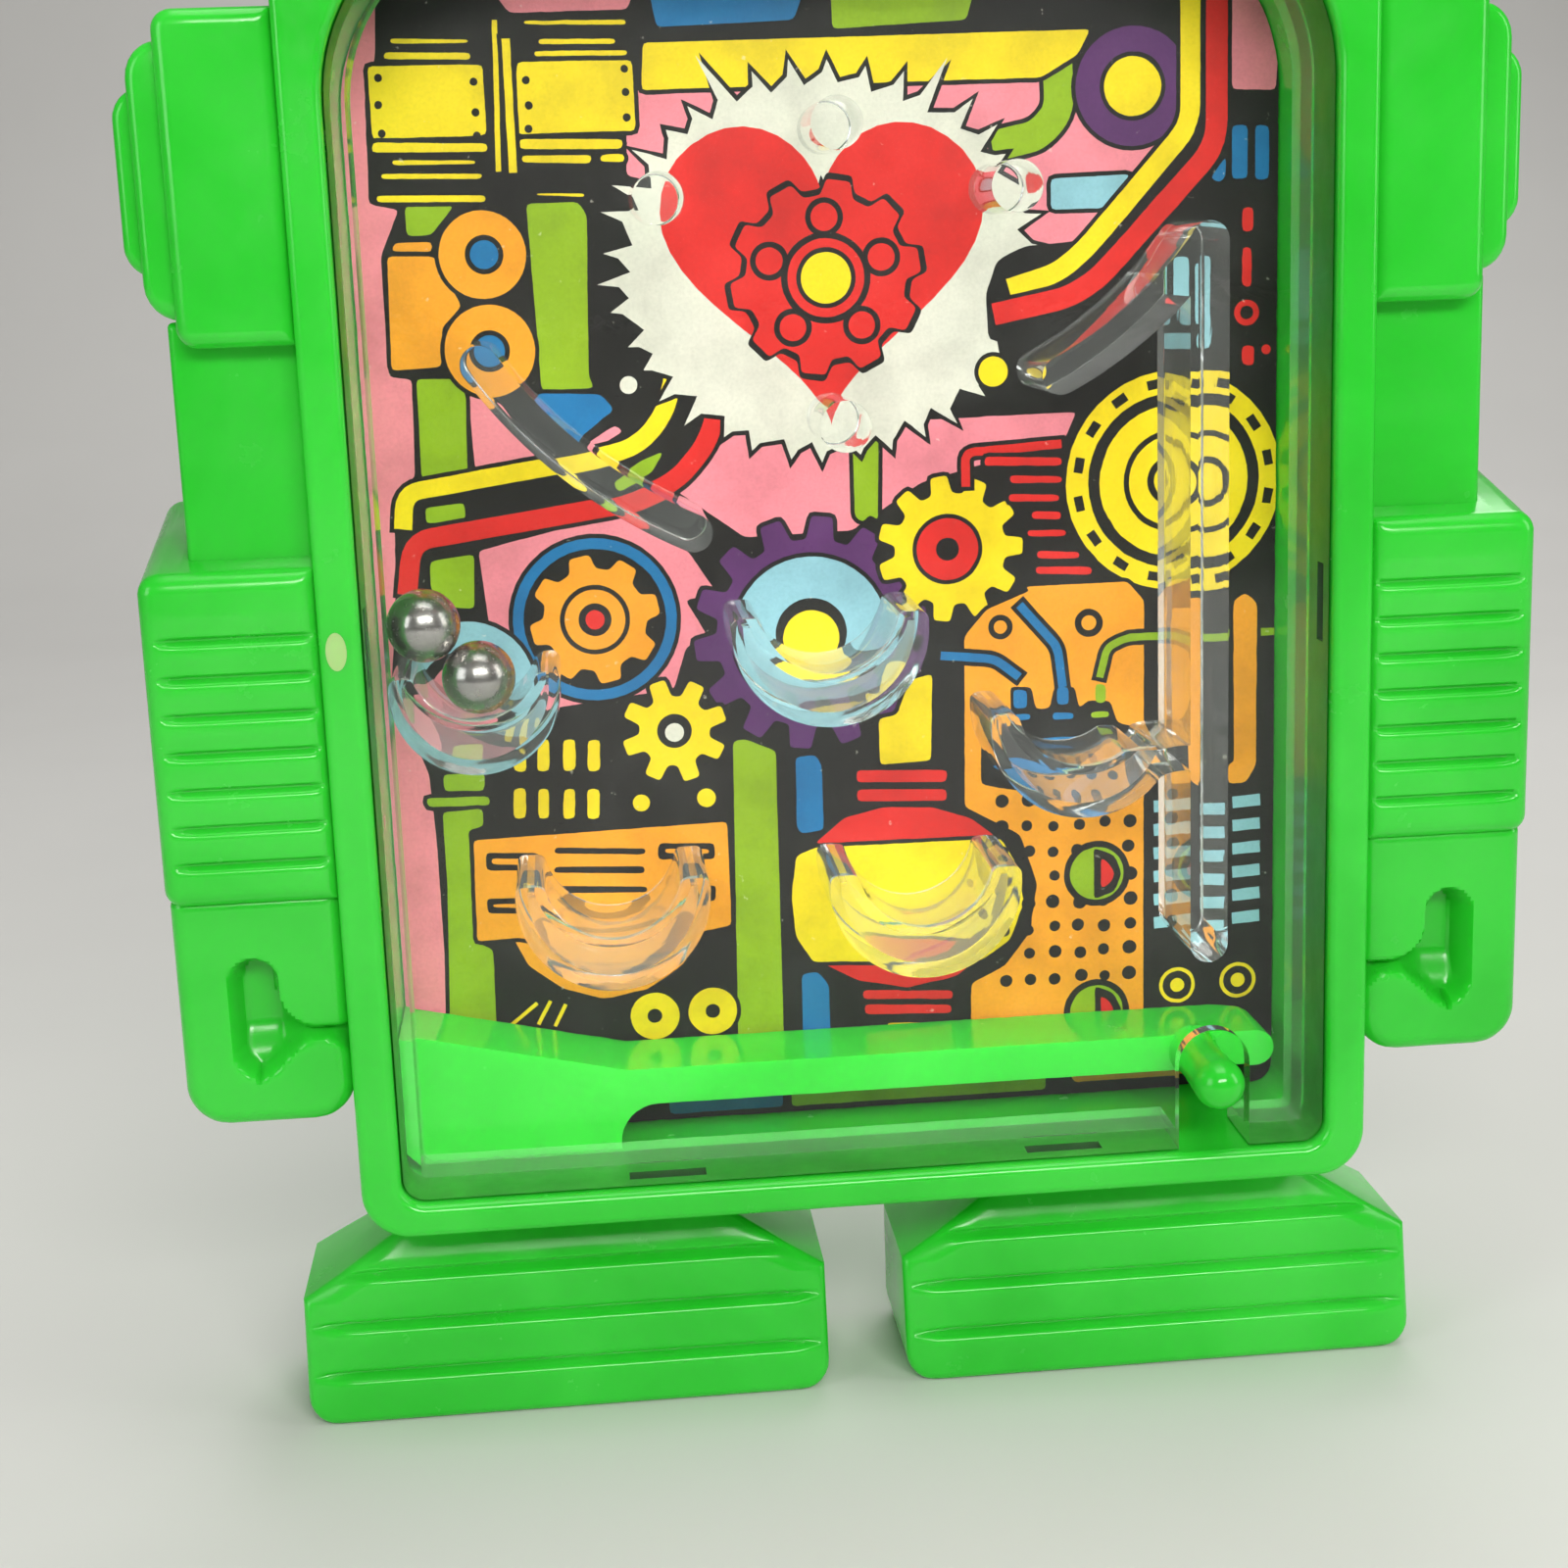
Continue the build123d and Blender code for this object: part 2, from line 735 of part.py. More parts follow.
# Feet: ribbed, with a sloping instep
for side_name, side in sides.items():
    with BuildPart() as foot:
        with BuildSketch(facing(foot_front)) as foot_outline:
            with BuildLine():
                Polyline(
                    (side * (foot_centre_x - foot_width / 2), 0),
                    (side * (foot_centre_x + foot_width / 2), 0),
                    (side * (foot_centre_x + foot_width / 2), foot_slope_z),
                    (side * (foot_centre_x + instep_width / 2), instep_z),
                    (side * (foot_centre_x + instep_width / 2), leg_height),
                    (side * (foot_centre_x - instep_width / 2), leg_height),
                    (side * (foot_centre_x - instep_width / 2), instep_z),
                    (side * (foot_centre_x - foot_width / 2), foot_slope_z),
                    close=True,
                )
            make_face()
            fillet(foot_outline.vertices().group_by(Axis.Y)[0], foot_corner_r)
        extrude(amount=-(foot_back - foot_front))
        side_points = []
        for step in range(foot_steps):
            step_y = rim_y + foot_front + step * foot_step_back
            lip_y = step_y + foot_step_back / 2
            step_top_z = (step + 1) * foot_step_height
            side_points.append((step_y, step * foot_step_height))
            side_points.append((step_y, step_top_z - foot_lip_height))
            side_points.append((lip_y, step_top_z - foot_lip_height))
            side_points.append((lip_y, step_top_z))
        side_points.append((rim_y + instep_front, instep_z))
        side_points.append((rim_y + instep_front, leg_height))
        side_points.append((rim_y + foot_back - heel_set_back, leg_height))
        side_points.append((rim_y + foot_back - heel_set_back, instep_z))
        side_points.append((rim_y + foot_back, foot_slope_z))
        side_points.append((rim_y + foot_back, 0))
        with BuildSketch(Plane.YZ):
            with BuildLine():
                Polyline(side_points, close=True)
            make_face()
        extrude(amount=foot_width + foot_inner_x, both=True, mode=Mode.INTERSECT)
        plug(*foot_plug_place(side), 0)
    foot.part.label = f"foot_{side_name}"
    shells.append(foot)

# Head: a rounded box with a sunk face, two round eyes, a grille and two ear discs
with BuildPart() as head:
    head_outline = rectangle_at(
        head_front, 0, head_centre_z, head_width, head_height, head_round
    )
    extrude(head_outline, amount=-(head_back - head_front))
    fillet(head.faces().sort_by(Axis.Y)[0].edges(), head_edge_round)
    fillet(head.faces().sort_by(Axis.Y)[-1].edges(), head_edge_round)
    face_outline = rectangle_at(head_front, 0, head_centre_z, face_width, face_height, head_round)
    extrude(face_outline, amount=-face_cut, mode=Mode.SUBTRACT)
    face_floor = facing(head_front + face_cut)
    with BuildSketch(face_floor):
        with Locations((-eye_x, head_centre_z + eye_rise), (eye_x, head_centre_z + eye_rise)):
            Circle(eye_r)
            Circle(eye_r - eye_ring, mode=Mode.SUBTRACT)
            Circle(eye_r - 2 * eye_ring)
        for bar in range(grille_bars):
            with Locations((0, head_centre_z - grille_drop - bar * grille_pitch)):
                SlotOverall(grille_width, grille_bar)
    extrude(amount=eye_raise)
    for side in sides.values():
        with Locations(
            Location(
                (side * (head_width / 2 + ear_reach / 2), rim_y + neck_middle, head_centre_z),
                (0, 90, 0),
            )
        ):
            Cylinder(ear_r, ear_reach)
    block(
        -neck_width / 2, neck_width / 2, neck_front, neck_back, body_top_z, head_bottom_z
    )
    plug(*neck_plug_place(), 0)
head.part.label = "head"
shells.append(head)

os.makedirs("parts", exist_ok=True)
for shell in shells:
    export_step(shell.part, f"parts/{shell.part.label}.step")
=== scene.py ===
"""Looks of the robot-shaped pocket ball game: camera, light, materials, printed card and
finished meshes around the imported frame. Everything is in metres, in the row frame."""

import json
import math
import random

import bmesh
import bpy
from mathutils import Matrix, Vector
from mathutils.geometry import delaunay_2d_cdt


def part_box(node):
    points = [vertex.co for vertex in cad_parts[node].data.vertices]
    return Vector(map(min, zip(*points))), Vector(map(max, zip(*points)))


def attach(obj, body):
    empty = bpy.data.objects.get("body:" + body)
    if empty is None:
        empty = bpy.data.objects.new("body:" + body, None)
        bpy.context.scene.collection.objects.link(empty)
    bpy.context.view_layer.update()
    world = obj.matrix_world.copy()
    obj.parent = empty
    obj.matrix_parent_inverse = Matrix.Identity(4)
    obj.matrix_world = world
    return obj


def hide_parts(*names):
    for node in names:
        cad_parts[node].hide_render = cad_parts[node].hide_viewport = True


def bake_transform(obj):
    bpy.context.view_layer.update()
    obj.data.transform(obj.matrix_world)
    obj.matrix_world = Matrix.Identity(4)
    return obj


MM = 0.001

# ---- camera
camera_data = bpy.data.cameras.new("camera")
camera = bpy.data.objects.new("camera", camera_data)
bpy.context.scene.collection.objects.link(camera)
bpy.context.scene.camera = camera
camera_data.sensor_width = 36.0
camera_data.lens = 56.25
camera_data.clip_start = 0.005
camera.location = (-0.0167, -0.15257, 0.07483)
camera.rotation_euler = [math.radians(angle) for angle in (77.443, 2.046, -5.196)]

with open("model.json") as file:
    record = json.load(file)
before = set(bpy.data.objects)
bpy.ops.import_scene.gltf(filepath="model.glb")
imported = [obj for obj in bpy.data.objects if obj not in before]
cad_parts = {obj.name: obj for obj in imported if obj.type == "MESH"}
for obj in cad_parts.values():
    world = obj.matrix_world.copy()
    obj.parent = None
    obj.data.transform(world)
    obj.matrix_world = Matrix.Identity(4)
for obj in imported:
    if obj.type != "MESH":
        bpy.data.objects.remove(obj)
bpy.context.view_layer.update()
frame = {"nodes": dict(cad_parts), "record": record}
scene = bpy.context.scene
scene.view_settings.view_transform = "Standard"

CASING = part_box("casing")
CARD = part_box("playfield_card")
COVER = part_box("clear_cover")
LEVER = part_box("launch_lever")
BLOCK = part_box("lever_block")
RIM_Y = CASING[0].y


# ---- materials
class Nodes:
    """Short way to build one material's node tree."""

    def __init__(self, name):
        self.material = bpy.data.materials.new(name)
        self.material.use_nodes = True
        self.tree = self.material.node_tree
        self.tree.nodes.clear()
        self.output = self.add("ShaderNodeOutputMaterial")
        self.coords = self.add("ShaderNodeTexCoord").outputs["Object"]

    def add(self, kind, **values):
        node = self.tree.nodes.new(kind)
        for key, value in values.items():
            setattr(node, key, value)
        return node

    def link(self, source, target):
        self.tree.links.new(source, target)

    def noise(self, scale, detail=3.0, rough=0.55, distortion=0.0):
        node = self.add("ShaderNodeTexNoise")
        wanted = {"Scale": scale, "Detail": detail, "Roughness": rough, "Distortion": distortion}
        for socket, value in wanted.items():
            node.inputs[socket].default_value = value
        self.link(self.coords, node.inputs["Vector"])
        return node.outputs["Fac"]

    def ramp(self, value, stops):
        node = self.add("ShaderNodeValToRGB")
        elements = node.color_ramp.elements
        while len(elements) < len(stops):
            elements.new(0.5)
        for element, (place, colour) in zip(elements, stops):
            element.position = place
            grey = isinstance(colour, float)
            element.color = (colour,) * 3 + (1.0,) if grey else tuple(colour) + (1.0,)
        self.link(value, node.inputs["Fac"])
        return node.outputs["Color"]

    def mix(self, first, second, amount, mode="MIX"):
        node = self.add("ShaderNodeMix", data_type="RGBA", blend_type=mode)
        for socket, value in (("Factor", amount), ("A", first), ("B", second)):
            wanted = "VALUE" if socket == "Factor" else "RGBA"
            target = [s for s in node.inputs if s.name == socket and s.type == wanted][0]
            if isinstance(value, bpy.types.NodeSocket):
                self.link(value, target)
            elif wanted == "VALUE":
                target.default_value = value
            else:
                target.default_value = tuple(value) + (1.0,)
        return [s for s in node.outputs if s.type == "RGBA"][0]

    def bump(self, height, strength, distance, normal=None):
        node = self.add("ShaderNodeBump")
        node.inputs["Strength"].default_value = strength
        node.inputs["Distance"].default_value = distance
        self.link(height, node.inputs["Height"])
        if normal is not None:
            self.link(normal, node.inputs["Normal"])
        return node.outputs["Normal"]

    def surface(self, **values):
        shader = self.add("ShaderNodeBsdfPrincipled")
        for key, value in values.items():
            socket = shader.inputs[key.replace("_", " ")]
            if isinstance(value, bpy.types.NodeSocket):
                self.link(value, socket)
            elif isinstance(value, tuple) and socket.type == "RGBA":
                socket.default_value = value + (1.0,)
            else:
                socket.default_value = value
        self.link(shader.outputs["BSDF"], self.output.inputs["Surface"])
        return shader


def moulded_plastic(name, colour, pale, deep, rough=0.3):
    """Glossy moulded plastic: slow flow shading, moulding dimples, dust and fine wear."""
    n = Nodes(name)
    flow = n.noise(55.0, 4.0, 0.5, 0.6)
    speck = n.noise(2600.0, 2.0, 0.6)
    base = n.ramp(flow, [(0.32, deep), (0.5, colour), (0.7, pale)])
    dust = n.ramp(n.noise(900.0, 6.0, 0.75), [(0.66, 0.0), (0.78, 0.22)])
    base = n.mix(base, pale, dust)
    wear = n.ramp(n.noise(240.0, 5.0, 0.62), [(0.35, rough - 0.05), (0.70, rough + 0.12)])
    normal = n.bump(flow, 0.15, 0.0004)
    normal = n.bump(n.noise(420.0, 3.0, 0.5), 0.12, 0.0001, normal)
    normal = n.bump(speck, 0.08, 0.00002, normal)
    n.surface(
        Base_Color=base,
        Roughness=wear,
        IOR=1.5,
        Subsurface_Weight=0.5,
        Subsurface_Radius=(0.15, 1.0, 0.15),
        Subsurface_Scale=0.0016,
        Normal=normal,
    )
    return n.material


def clear_plastic(name, bend, haze, clarity):
    """Clear moulded styrene with faint flow lines, uneven haze and fine pitting."""
    n = Nodes(name)
    flow = n.noise(90.0, 3.0, 0.5, 1.2)
    tint = n.ramp(flow, [(0.3, (0.93, 0.965, 0.955)), (0.7, (0.985, 0.995, 0.99))])
    rough = n.ramp(n.noise(700.0, 5.0, 0.7), [(0.55, haze), (0.72, haze + 0.05), (0.8, haze + 0.15)])
    normal = n.bump(flow, 0.12, 0.0003)
    normal = n.bump(n.noise(1500.0, 2.0, 0.5), 0.05, 0.00003, normal)
    shader = n.surface(
        Base_Color=tint, Roughness=rough, IOR=bend, Transmission_Weight=clarity, Normal=normal
    )
    clear = n.add("ShaderNodeBsdfTransparent")
    clear.inputs["Color"].default_value = (0.95, 0.97, 0.96, 1.0)
    path = n.add("ShaderNodeLightPath")
    either = n.add("ShaderNodeMixShader")
    n.link(path.outputs["Is Shadow Ray"], either.inputs["Fac"])
    n.link(shader.outputs["BSDF"], either.inputs[1])
    n.link(clear.outputs["BSDF"], either.inputs[2])
    n.link(either.outputs["Shader"], n.output.inputs["Surface"])
    return n.material


def printed_ink(name, colour):
    """Offset ink on card: uneven coverage, dull specks and a soft satin sheen."""
    n = Nodes(name)
    dark = tuple(0.78 * c for c in colour)
    light = tuple(min(1.0, 1.06 * c + 0.012) for c in colour)
    cloud = n.noise(160.0, 5.0, 0.6)
    base = n.ramp(cloud, [(0.3, dark), (0.52, colour), (0.75, light)])
    grain = n.ramp(n.noise(4200.0, 3.0, 0.7), [(0.3, 0.80), (0.6, 1.0)])
    base = n.mix(base, grain, 0.5, "MULTIPLY")
    specks = n.ramp(n.noise(1300.0, 3.0, 0.6), [(0.70, 0.0), (0.76, 0.35)])
    base = n.mix(base, (0.72, 0.68, 0.58), specks)
    rough = n.ramp(cloud, [(0.3, 0.42), (0.7, 0.6)])
    normal = n.bump(n.noise(2600.0, 4.0, 0.6), 0.25, 0.00004)
    n.surface(Base_Color=base, Roughness=rough, IOR=1.45, Specular_IOR_Level=0.3, Normal=normal)
    return n.material


def bright_steel(name, rough):
    """Polished steel with hairline scratches and small pits."""
    n = Nodes(name)
    tone = n.ramp(n.noise(500.0, 4.0, 0.6), [(0.3, (0.36, 0.345, 0.33)), (0.7, (0.50, 0.48, 0.46))])
    pits = n.ramp(n.noise(2600.0, 3.0, 0.65), [(0.62, rough), (0.74, rough + 0.25)])
    normal = n.bump(n.noise(1900.0, 6.0, 0.8, 2.5), 0.10, 0.00002)
    n.surface(Base_Color=tone, Metallic=1.0, Roughness=pits, Normal=normal)
    return n.material


GREEN = moulded_plastic(
    "green_plastic", (0.030, 0.62, 0.036), (0.050, 0.68, 0.055), (0.020, 0.55, 0.024), 0.17
)
CLEAR = clear_plastic("clear_plastic", 1.49, 0.02, 0.95)
PANEL = clear_plastic("clear_panel", 1.28, 0.012, 1.0)
FLANGE = clear_plastic("clear_flange", 1.12, 0.10, 0.95)
FROSTED = clear_plastic("clear_frosted_edge", 1.3, 0.45, 0.55)
# Painted shade: the green wall seen through the clear edge, in a darker copy of the green because the wall
# lies in shade.
WALL_SHADE = moulded_plastic(
    "clear_edge_painted_wall_shade", (0.016, 0.26, 0.012), (0.03, 0.32, 0.02), (0.01, 0.20, 0.008), 0.5
)
# Painted shade: near-black green on the snap tabs for the dark inside of the slots they sit in.
SLOT_SHADE = moulded_plastic(
    "clear_tab_painted_slot_shade", (0.006, 0.06, 0.005), (0.012, 0.09, 0.01), (0.004, 0.045, 0.003), 0.5
)
GATE = moulded_plastic("gate_mark", (0.38, 0.80, 0.20), (0.46, 0.86, 0.28), (0.32, 0.72, 0.16), 0.35)
STEEL = bright_steel("ball_steel", 0.22)
SCREW = bright_steel("screw_steel", 0.32)
INKS = {
    "black": (0.007, 0.006, 0.005),
    "yellow": (0.80, 0.58, 0.002),
    "red": (0.62, 0.014, 0.010),
    "pink": (0.76, 0.22, 0.27),
    "lime": (0.24, 0.38, 0.004),
    "blue": (0.006, 0.14, 0.34),
    "sky": (0.24, 0.46, 0.54),
    "orange": (0.80, 0.30, 0.012),
    "purple": (0.09, 0.022, 0.115),
    "white": (0.66, 0.63, 0.54),
    "card": (0.55, 0.51, 0.43),
}


# ---- mesh helpers
CREASE = 32.0


def finished(name, bm, materials, angle=CREASE):
    """Turns a bmesh into an object with smooth shading and crisp edges where it bends."""
    bmesh.ops.recalc_face_normals(bm, faces=bm.faces)
    mesh = bpy.data.meshes.new(name)
    bm.to_mesh(mesh)
    bm.free()
    for material in materials:
        mesh.materials.append(material)
    mesh.shade_smooth()
    mesh.set_sharp_from_angle(angle=math.radians(angle))
    thing = bpy.data.objects.new(name, mesh)
    bpy.context.scene.collection.objects.link(thing)
    return thing


def cad_mesh(node):
    """A clean, welded copy of a CAD node's mesh with flat areas merged to single faces."""
    bm = bmesh.new()
    bm.from_mesh(frame["nodes"][node].data)
    bmesh.ops.remove_doubles(bm, verts=bm.verts, dist=2e-6)
    bmesh.ops.dissolve_limit(bm, angle_limit=math.radians(1.2), verts=bm.verts, edges=bm.edges)
    return bm


def soften(bm, width, angle=38.0, segments=3, keep=None):
    """Rounds every edge that bends more than the angle, as a mould does."""
    inner = [e for e in bm.edges if len(e.link_faces) == 2]
    sharp = [e for e in inner if e.calc_face_angle(0.0) >= math.radians(angle)]
    if keep is not None:
        sharp = [e for e in sharp if keep(e)]
    bmesh.ops.bevel(
        bm,
        geom=sharp,
        offset=width,
        offset_type="OFFSET",
        segments=segments,
        profile=0.5,
        affect="EDGES",
        clamp_overlap=True,
        miter_outer="ARC",
    )


def stand_for(node, material, width):
    """A softened copy of a fixed CAD node in the given material, in the node's place."""
    bm = cad_mesh(node)
    soften(bm, width)
    thing = finished(node + "_moulding", bm, [material])
    even = thing.modifiers.new("even_shading", "WEIGHTED_NORMAL")
    even.keep_sharp = True
    even.weight = 80
    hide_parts(node)
    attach(thing, "root")


def prism(outline, y_from, y_to):
    """A closed solid between two depths; the outline is a list of (x, z) in metres."""
    bm = bmesh.new()
    front = [bm.verts.new((x, y_from, z)) for x, z in outline]
    back = [bm.verts.new((x, y_to, z)) for x, z in outline]
    bm.faces.new(front)
    bm.faces.new(list(reversed(back)))
    count = len(outline)
    for i in range(count):
        j = (i + 1) % count
        bm.faces.new((front[j], front[i], back[i], back[j]))
    return bm


def arc(cx, cz, radius, start, end, count):
    """Points of an arc in the plane of the window, angles in degrees."""
    for i in range(count + 1):
        turn = math.radians(start + (end - start) * i / count)
        yield cx + radius * math.cos(turn), cz + radius * math.sin(turn)


def combine(base, others, operation):
    """Joins the other objects to the base or cuts them from it, and removes them."""
    for other in others:
        step = base.modifiers.new(operation, "BOOLEAN")
        step.operation, step.solver, step.object = operation, "EXACT", other
    evaluated = base.evaluated_get(bpy.context.evaluated_depsgraph_get())
    mesh = bpy.data.meshes.new_from_object(evaluated)
    base.modifiers.clear()
    base.data = mesh
    for other in others:
        bpy.data.objects.remove(other)
    mesh.shade_smooth()
    mesh.set_sharp_from_angle(angle=math.radians(CREASE))


def united(name, solids, materials):
    """One object from several closed solids that touch or overlap."""
    base = finished(name, solids[0], materials)
    for extra in solids[1:]:
        combine(base, [finished(name + "_part", extra, materials)], "UNION")
    return base


# ---- printed card
LINE = 0.28
card_shapes = []


def turns_left(points):
    """Whether a closed outline runs anticlockwise."""
    return sum(a[0] * b[1] - b[0] * a[1] for a, b in zip(points, points[1:] + points[:1])) > 0


def outward(points, distance):
    """The outline pushed out by a distance, corners kept mitred."""
    side = 1.0 if turns_left(points) else -1.0
    grown = []
    for i, point in enumerate(points):
        before, after = Vector(points[i - 1]), Vector(points[(i + 1) % len(points)])
        here = Vector(point)
        d1, d2 = (here - before).normalized(), (after - here).normalized()
        n1, n2 = Vector((d1.y, -d1.x)) * side, Vector((d2.y, -d2.x)) * side
        middle = n1 + n2
        if middle.length < 0.3:
            middle = n1
        middle.normalize()
        reach = min(distance / max(middle.dot(n1), 0.45), 2.2 * distance)
        grown.append(tuple(here + middle * reach))
    return grown


def rounded(points, radius=0.3):
    """The outline with its corners cut into short curves, as a pen draws them."""
    result = []
    for i, point in enumerate(points):
        here = Vector(point)
        before, after = Vector(points[i - 1]), Vector(points[(i + 1) % len(points)])
        first = here + (before - here) * min(0.4, radius / max((before - here).length, 1e-6))
        last = here + (after - here) * min(0.4, radius / max((after - here).length, 1e-6))
        result += [tuple(first), tuple(0.25 * first + 0.5 * here + 0.25 * last), tuple(last)]
    return result


def paint(ink, points, line):
    """Adds a filled outline over what is there, with a black pen line round it."""
    if line > 0:
        card_shapes.append((outward(points, line), "black"))
    card_shapes.append((points, ink))


def poly(ink, *points, line=LINE):
    paint(ink, rounded(list(points)), line)


def polys(ink, *outlines, line=LINE):
    for points in outlines:
        poly(ink, *points, line=line)


def flat(ink, *points):
    poly(ink, *points, line=0)


def disc(ink, x, z, r, line=LINE):
    count = 16 if r < 0.8 else 40
    paint(ink, list(arc(x, z, r, 0.0, 360.0 - 360.0 / count, count - 1)), line)


def dot(ink, x, z, r):
    disc(ink, x, z, r, line=0)


def dots(x, z, *sizes):
    """Discs round one centre, without pen lines."""
    for ink, r in sizes:
        dot(ink, x, z, r)


def rings(x, z, outer, *sizes):
    """Discs round one centre, with a pen line round the outermost."""
    disc(outer[0], x, z, outer[1])
    dots(x, z, *sizes)


def gear(ink, x, z, tip, root, teeth, turn, line=LINE):
    points = []
    step = 2 * math.pi / teeth
    for tooth in range(teeth):
        middle = turn + tooth * step
        for share, r in ((-0.33, root), (-0.20, tip), (0.20, tip), (0.33, root)):
            angle = middle + share * step
            points.append((x + r * math.cos(angle), z + r * math.sin(angle)))
    paint(ink, rounded(points, 0.22), line)


def pipe(ink, width, *points, line=LINE):
    """A bent tube with its corners rounded, drawn as one outline."""
    centre = [Vector(points[0])]
    for i in range(1, len(points) - 1):
        here, before, after = Vector(points[i]), Vector(points[i - 1]), Vector(points[i + 1])
        cut = min(1.1 * width, 0.45 * (before - here).length, 0.45 * (after - here).length)
        a = here + (before - here).normalized() * cut
        b = here + (after - here).normalized() * cut
        for k in range(6):
            t = k / 5
            centre.append((1 - t) ** 2 * a + 2 * t * (1 - t) * here + t * t * b)
    centre.append(Vector(points[-1]))
    left, right = [], []
    for i, here in enumerate(centre):
        along = centre[min(i + 1, len(centre) - 1)] - centre[max(i - 1, 0)]
        normal = Vector((-along.y, along.x)).normalized() * (width / 2)
        left.append(tuple(here + normal))
        right.append(tuple(here - normal))
    paint(ink, left + right[::-1], line)


def burst():
    """A spiky white splash, a plain heart on it and a cog ring round a hub."""
    x, z = 0.2, 73.1
    spikes = random.Random(11)
    star = []
    count = 38
    for i in range(count):
        turn = 2 * math.pi * (i + spikes.uniform(-0.12, 0.12)) / count + 0.05
        tall = 1.0 + spikes.uniform(-0.02, 0.06) + (0.13 if i in (6, 12) else 0.0)
        dip = 0.895 + spikes.uniform(-0.015, 0.015)
        lean = 0.33 * 2 * math.pi / count
        for angle, r in ((turn - lean, dip), (turn, tall), (turn + 0.4 * lean, 0.5 + 0.5 * dip)):
            star.append((x + 13.9 * r * math.cos(angle), z + 12.3 * r * math.sin(angle)))
    paint("white", star, LINE)
    heart = []
    for i in range(64):
        t = 2 * math.pi * i / 64
        across = 16 * math.sin(t) ** 3
        up = 13 * math.cos(t) - 5 * math.cos(2 * t) - 2 * math.cos(3 * t) - math.cos(4 * t)
        heart.append((0.1 + 0.643 * across, 74.05 + 0.643 * up))
    paint("red", heart[::-1], 0.36)
    gear("black", 0.2, 72.3, 6.5, 5.5, 10, 0.15, line=0)
    gear("red", 0.2, 72.3, 6.1, 5.1, 10, 0.15, line=0)
    for i in range(5):
        turn = math.pi / 2 + 2 * math.pi * i / 5
        disc("red", 0.2 + 3.75 * math.cos(turn), 72.3 + 3.75 * math.sin(turn), 0.85, line=0.36)
    disc("red", 0.2, 72.3, 2.45, line=0.4)
    disc("yellow", 0.2, 72.3, 1.6, line=0.3)


def slots(x, z, r):
    """Short black slots round a dial."""
    for i in range(16):
        turn = 2 * math.pi * (i + 0.5) / 16
        cx, cz = x + r * math.cos(turn), z + r * math.sin(turn)
        tx, tz = -math.sin(turn) * 0.5, math.cos(turn) * 0.5
        pipe("black", 0.6, (cx - tx, cz - tz), (cx + tx, cz + tz), line=0)


def perforations():
    """Punched holes in the orange panel."""
    spread = random.Random(5)
    for row in range(8):
        for column in range(6):
            x = 10.9 + 1.72 * column + spread.uniform(-0.1, 0.1)
            z = 37.6 - 1.78 * row + spread.uniform(-0.1, 0.1)
            dot("black", x, z, spread.uniform(0.36, 0.5))


def ground():
    """Pink ground with lime pipes and blocks."""
    polys(
        "pink",
        (
            (-29.8, 92.2), (-26.7, 92.2), (-27.1, 86.5), (-27.9, 84.2), (-28.1, 77.8), (-26.3, 77.4),
            (-27.6, 74.6), (-27.6, 67.2), (-26.2, 67), (-26.4, 60.9), (-27.8, 59.8), (-28.1, 53.8),
            (-28.8, 47.5), (-26.8, 41.5), (-26.6, 36.9), (-26.6, 24.8), (-34.9, 25.3),
        ),
        ((-22.7, 65.9), (-20.7, 65.4), (-18.2, 61.5), (-22.6, 61.2)),
        ((-15.6, 62.4), (-13.6, 63.6), (-13.1, 63.2), (-15.1, 62.1)),
        ((-11.8, 84.1), (16.6, 84), (22.8, 79.6), (17.7, 73), (10.1, 73.2), (-12.1, 79)),
        ((-9.9, 59.3), (-7.5, 63), (16.2, 63.2), (15.4, 61.5), (6, 59.1), (1.4, 56.2), (-5.6, 56.1)),
        (
            (-22.7, 56), (-13.1, 58.1), (-9.4, 55.5), (-7.5, 52.5), (-9.6, 52.2), (-8.3, 49.8),
            (-9.7, 49.1), (-10.6, 46.4), (-18.8, 45.5), (-22.3, 51),
        ),
        ((-21, 92), (-10.2, 91.7), (-11.6, 88.9), (-18.8, 88.9)),
        ((26, 90.8), (29.7, 90.7), (29.2, 82.9), (26.4, 83)),
    )
    # Lime pipes and blocks
    polys(
        "lime",
        ((-25.9, 77.6), (-22.9, 77.5), (-24.4, 75.8), (-25.9, 75.8)),
        ((-25.9, 67), (-23.2, 66.9), (-22.9, 65.8), (-23.1, 60.8), (-26, 60.8)),
        ((-18.4, 77.5), (-15.2, 77.5), (-14.7, 76.7), (-15.1, 66.7), (-14.8, 66), (-18.1, 66)),
        ((-25.9, 58.9), (-23.4, 59.1), (-23.4, 58), (-25.9, 57.9)),
        ((-25.8, 55.5), (-23, 55.8), (-23.2, 52.3), (-24.4, 52.4), (-25.9, 53.7)),
        ((-25.9, 41.5), (-23.2, 41.5), (-23.3, 40.3), (-25.9, 40.4)),
        ((-27.1, 40), (-23, 39.9), (-23, 39.3), (-27, 39.4)),
        (
            (-26.1, 39), (-23.5, 39.1), (-23.5, 37.9), (-24.5, 37.7), (-24.6, 30.1), (-23.4, 29.5),
            (-23.5, 23.2), (-26.6, 23.4), (-26.1, 34.2),
        ),
        ((-6.9, 42.7), (-6.1, 42.8), (-4.1, 41.9), (-4.3, 20.2), (-7.4, 20.4)),
        ((1.6, 63.2), (3.3, 63.1), (3.1, 56.8), (2.6, 57.2), (2.1, 56.7), (1.6, 57.1)),
        ((1, 91.5), (10.5, 91.2), (9.5, 87.7), (1.1, 87.4)),
    )
    pipe("lime", 1.89, (15.2, 85.2), (15.3, 82.1), (14, 80.6), (11, 80))
    poly("lime", (-12, 61.3), (-10.6, 61.8), (-11.4, 60.5), (-13.6, 59.5), (-13.9, 60.1))


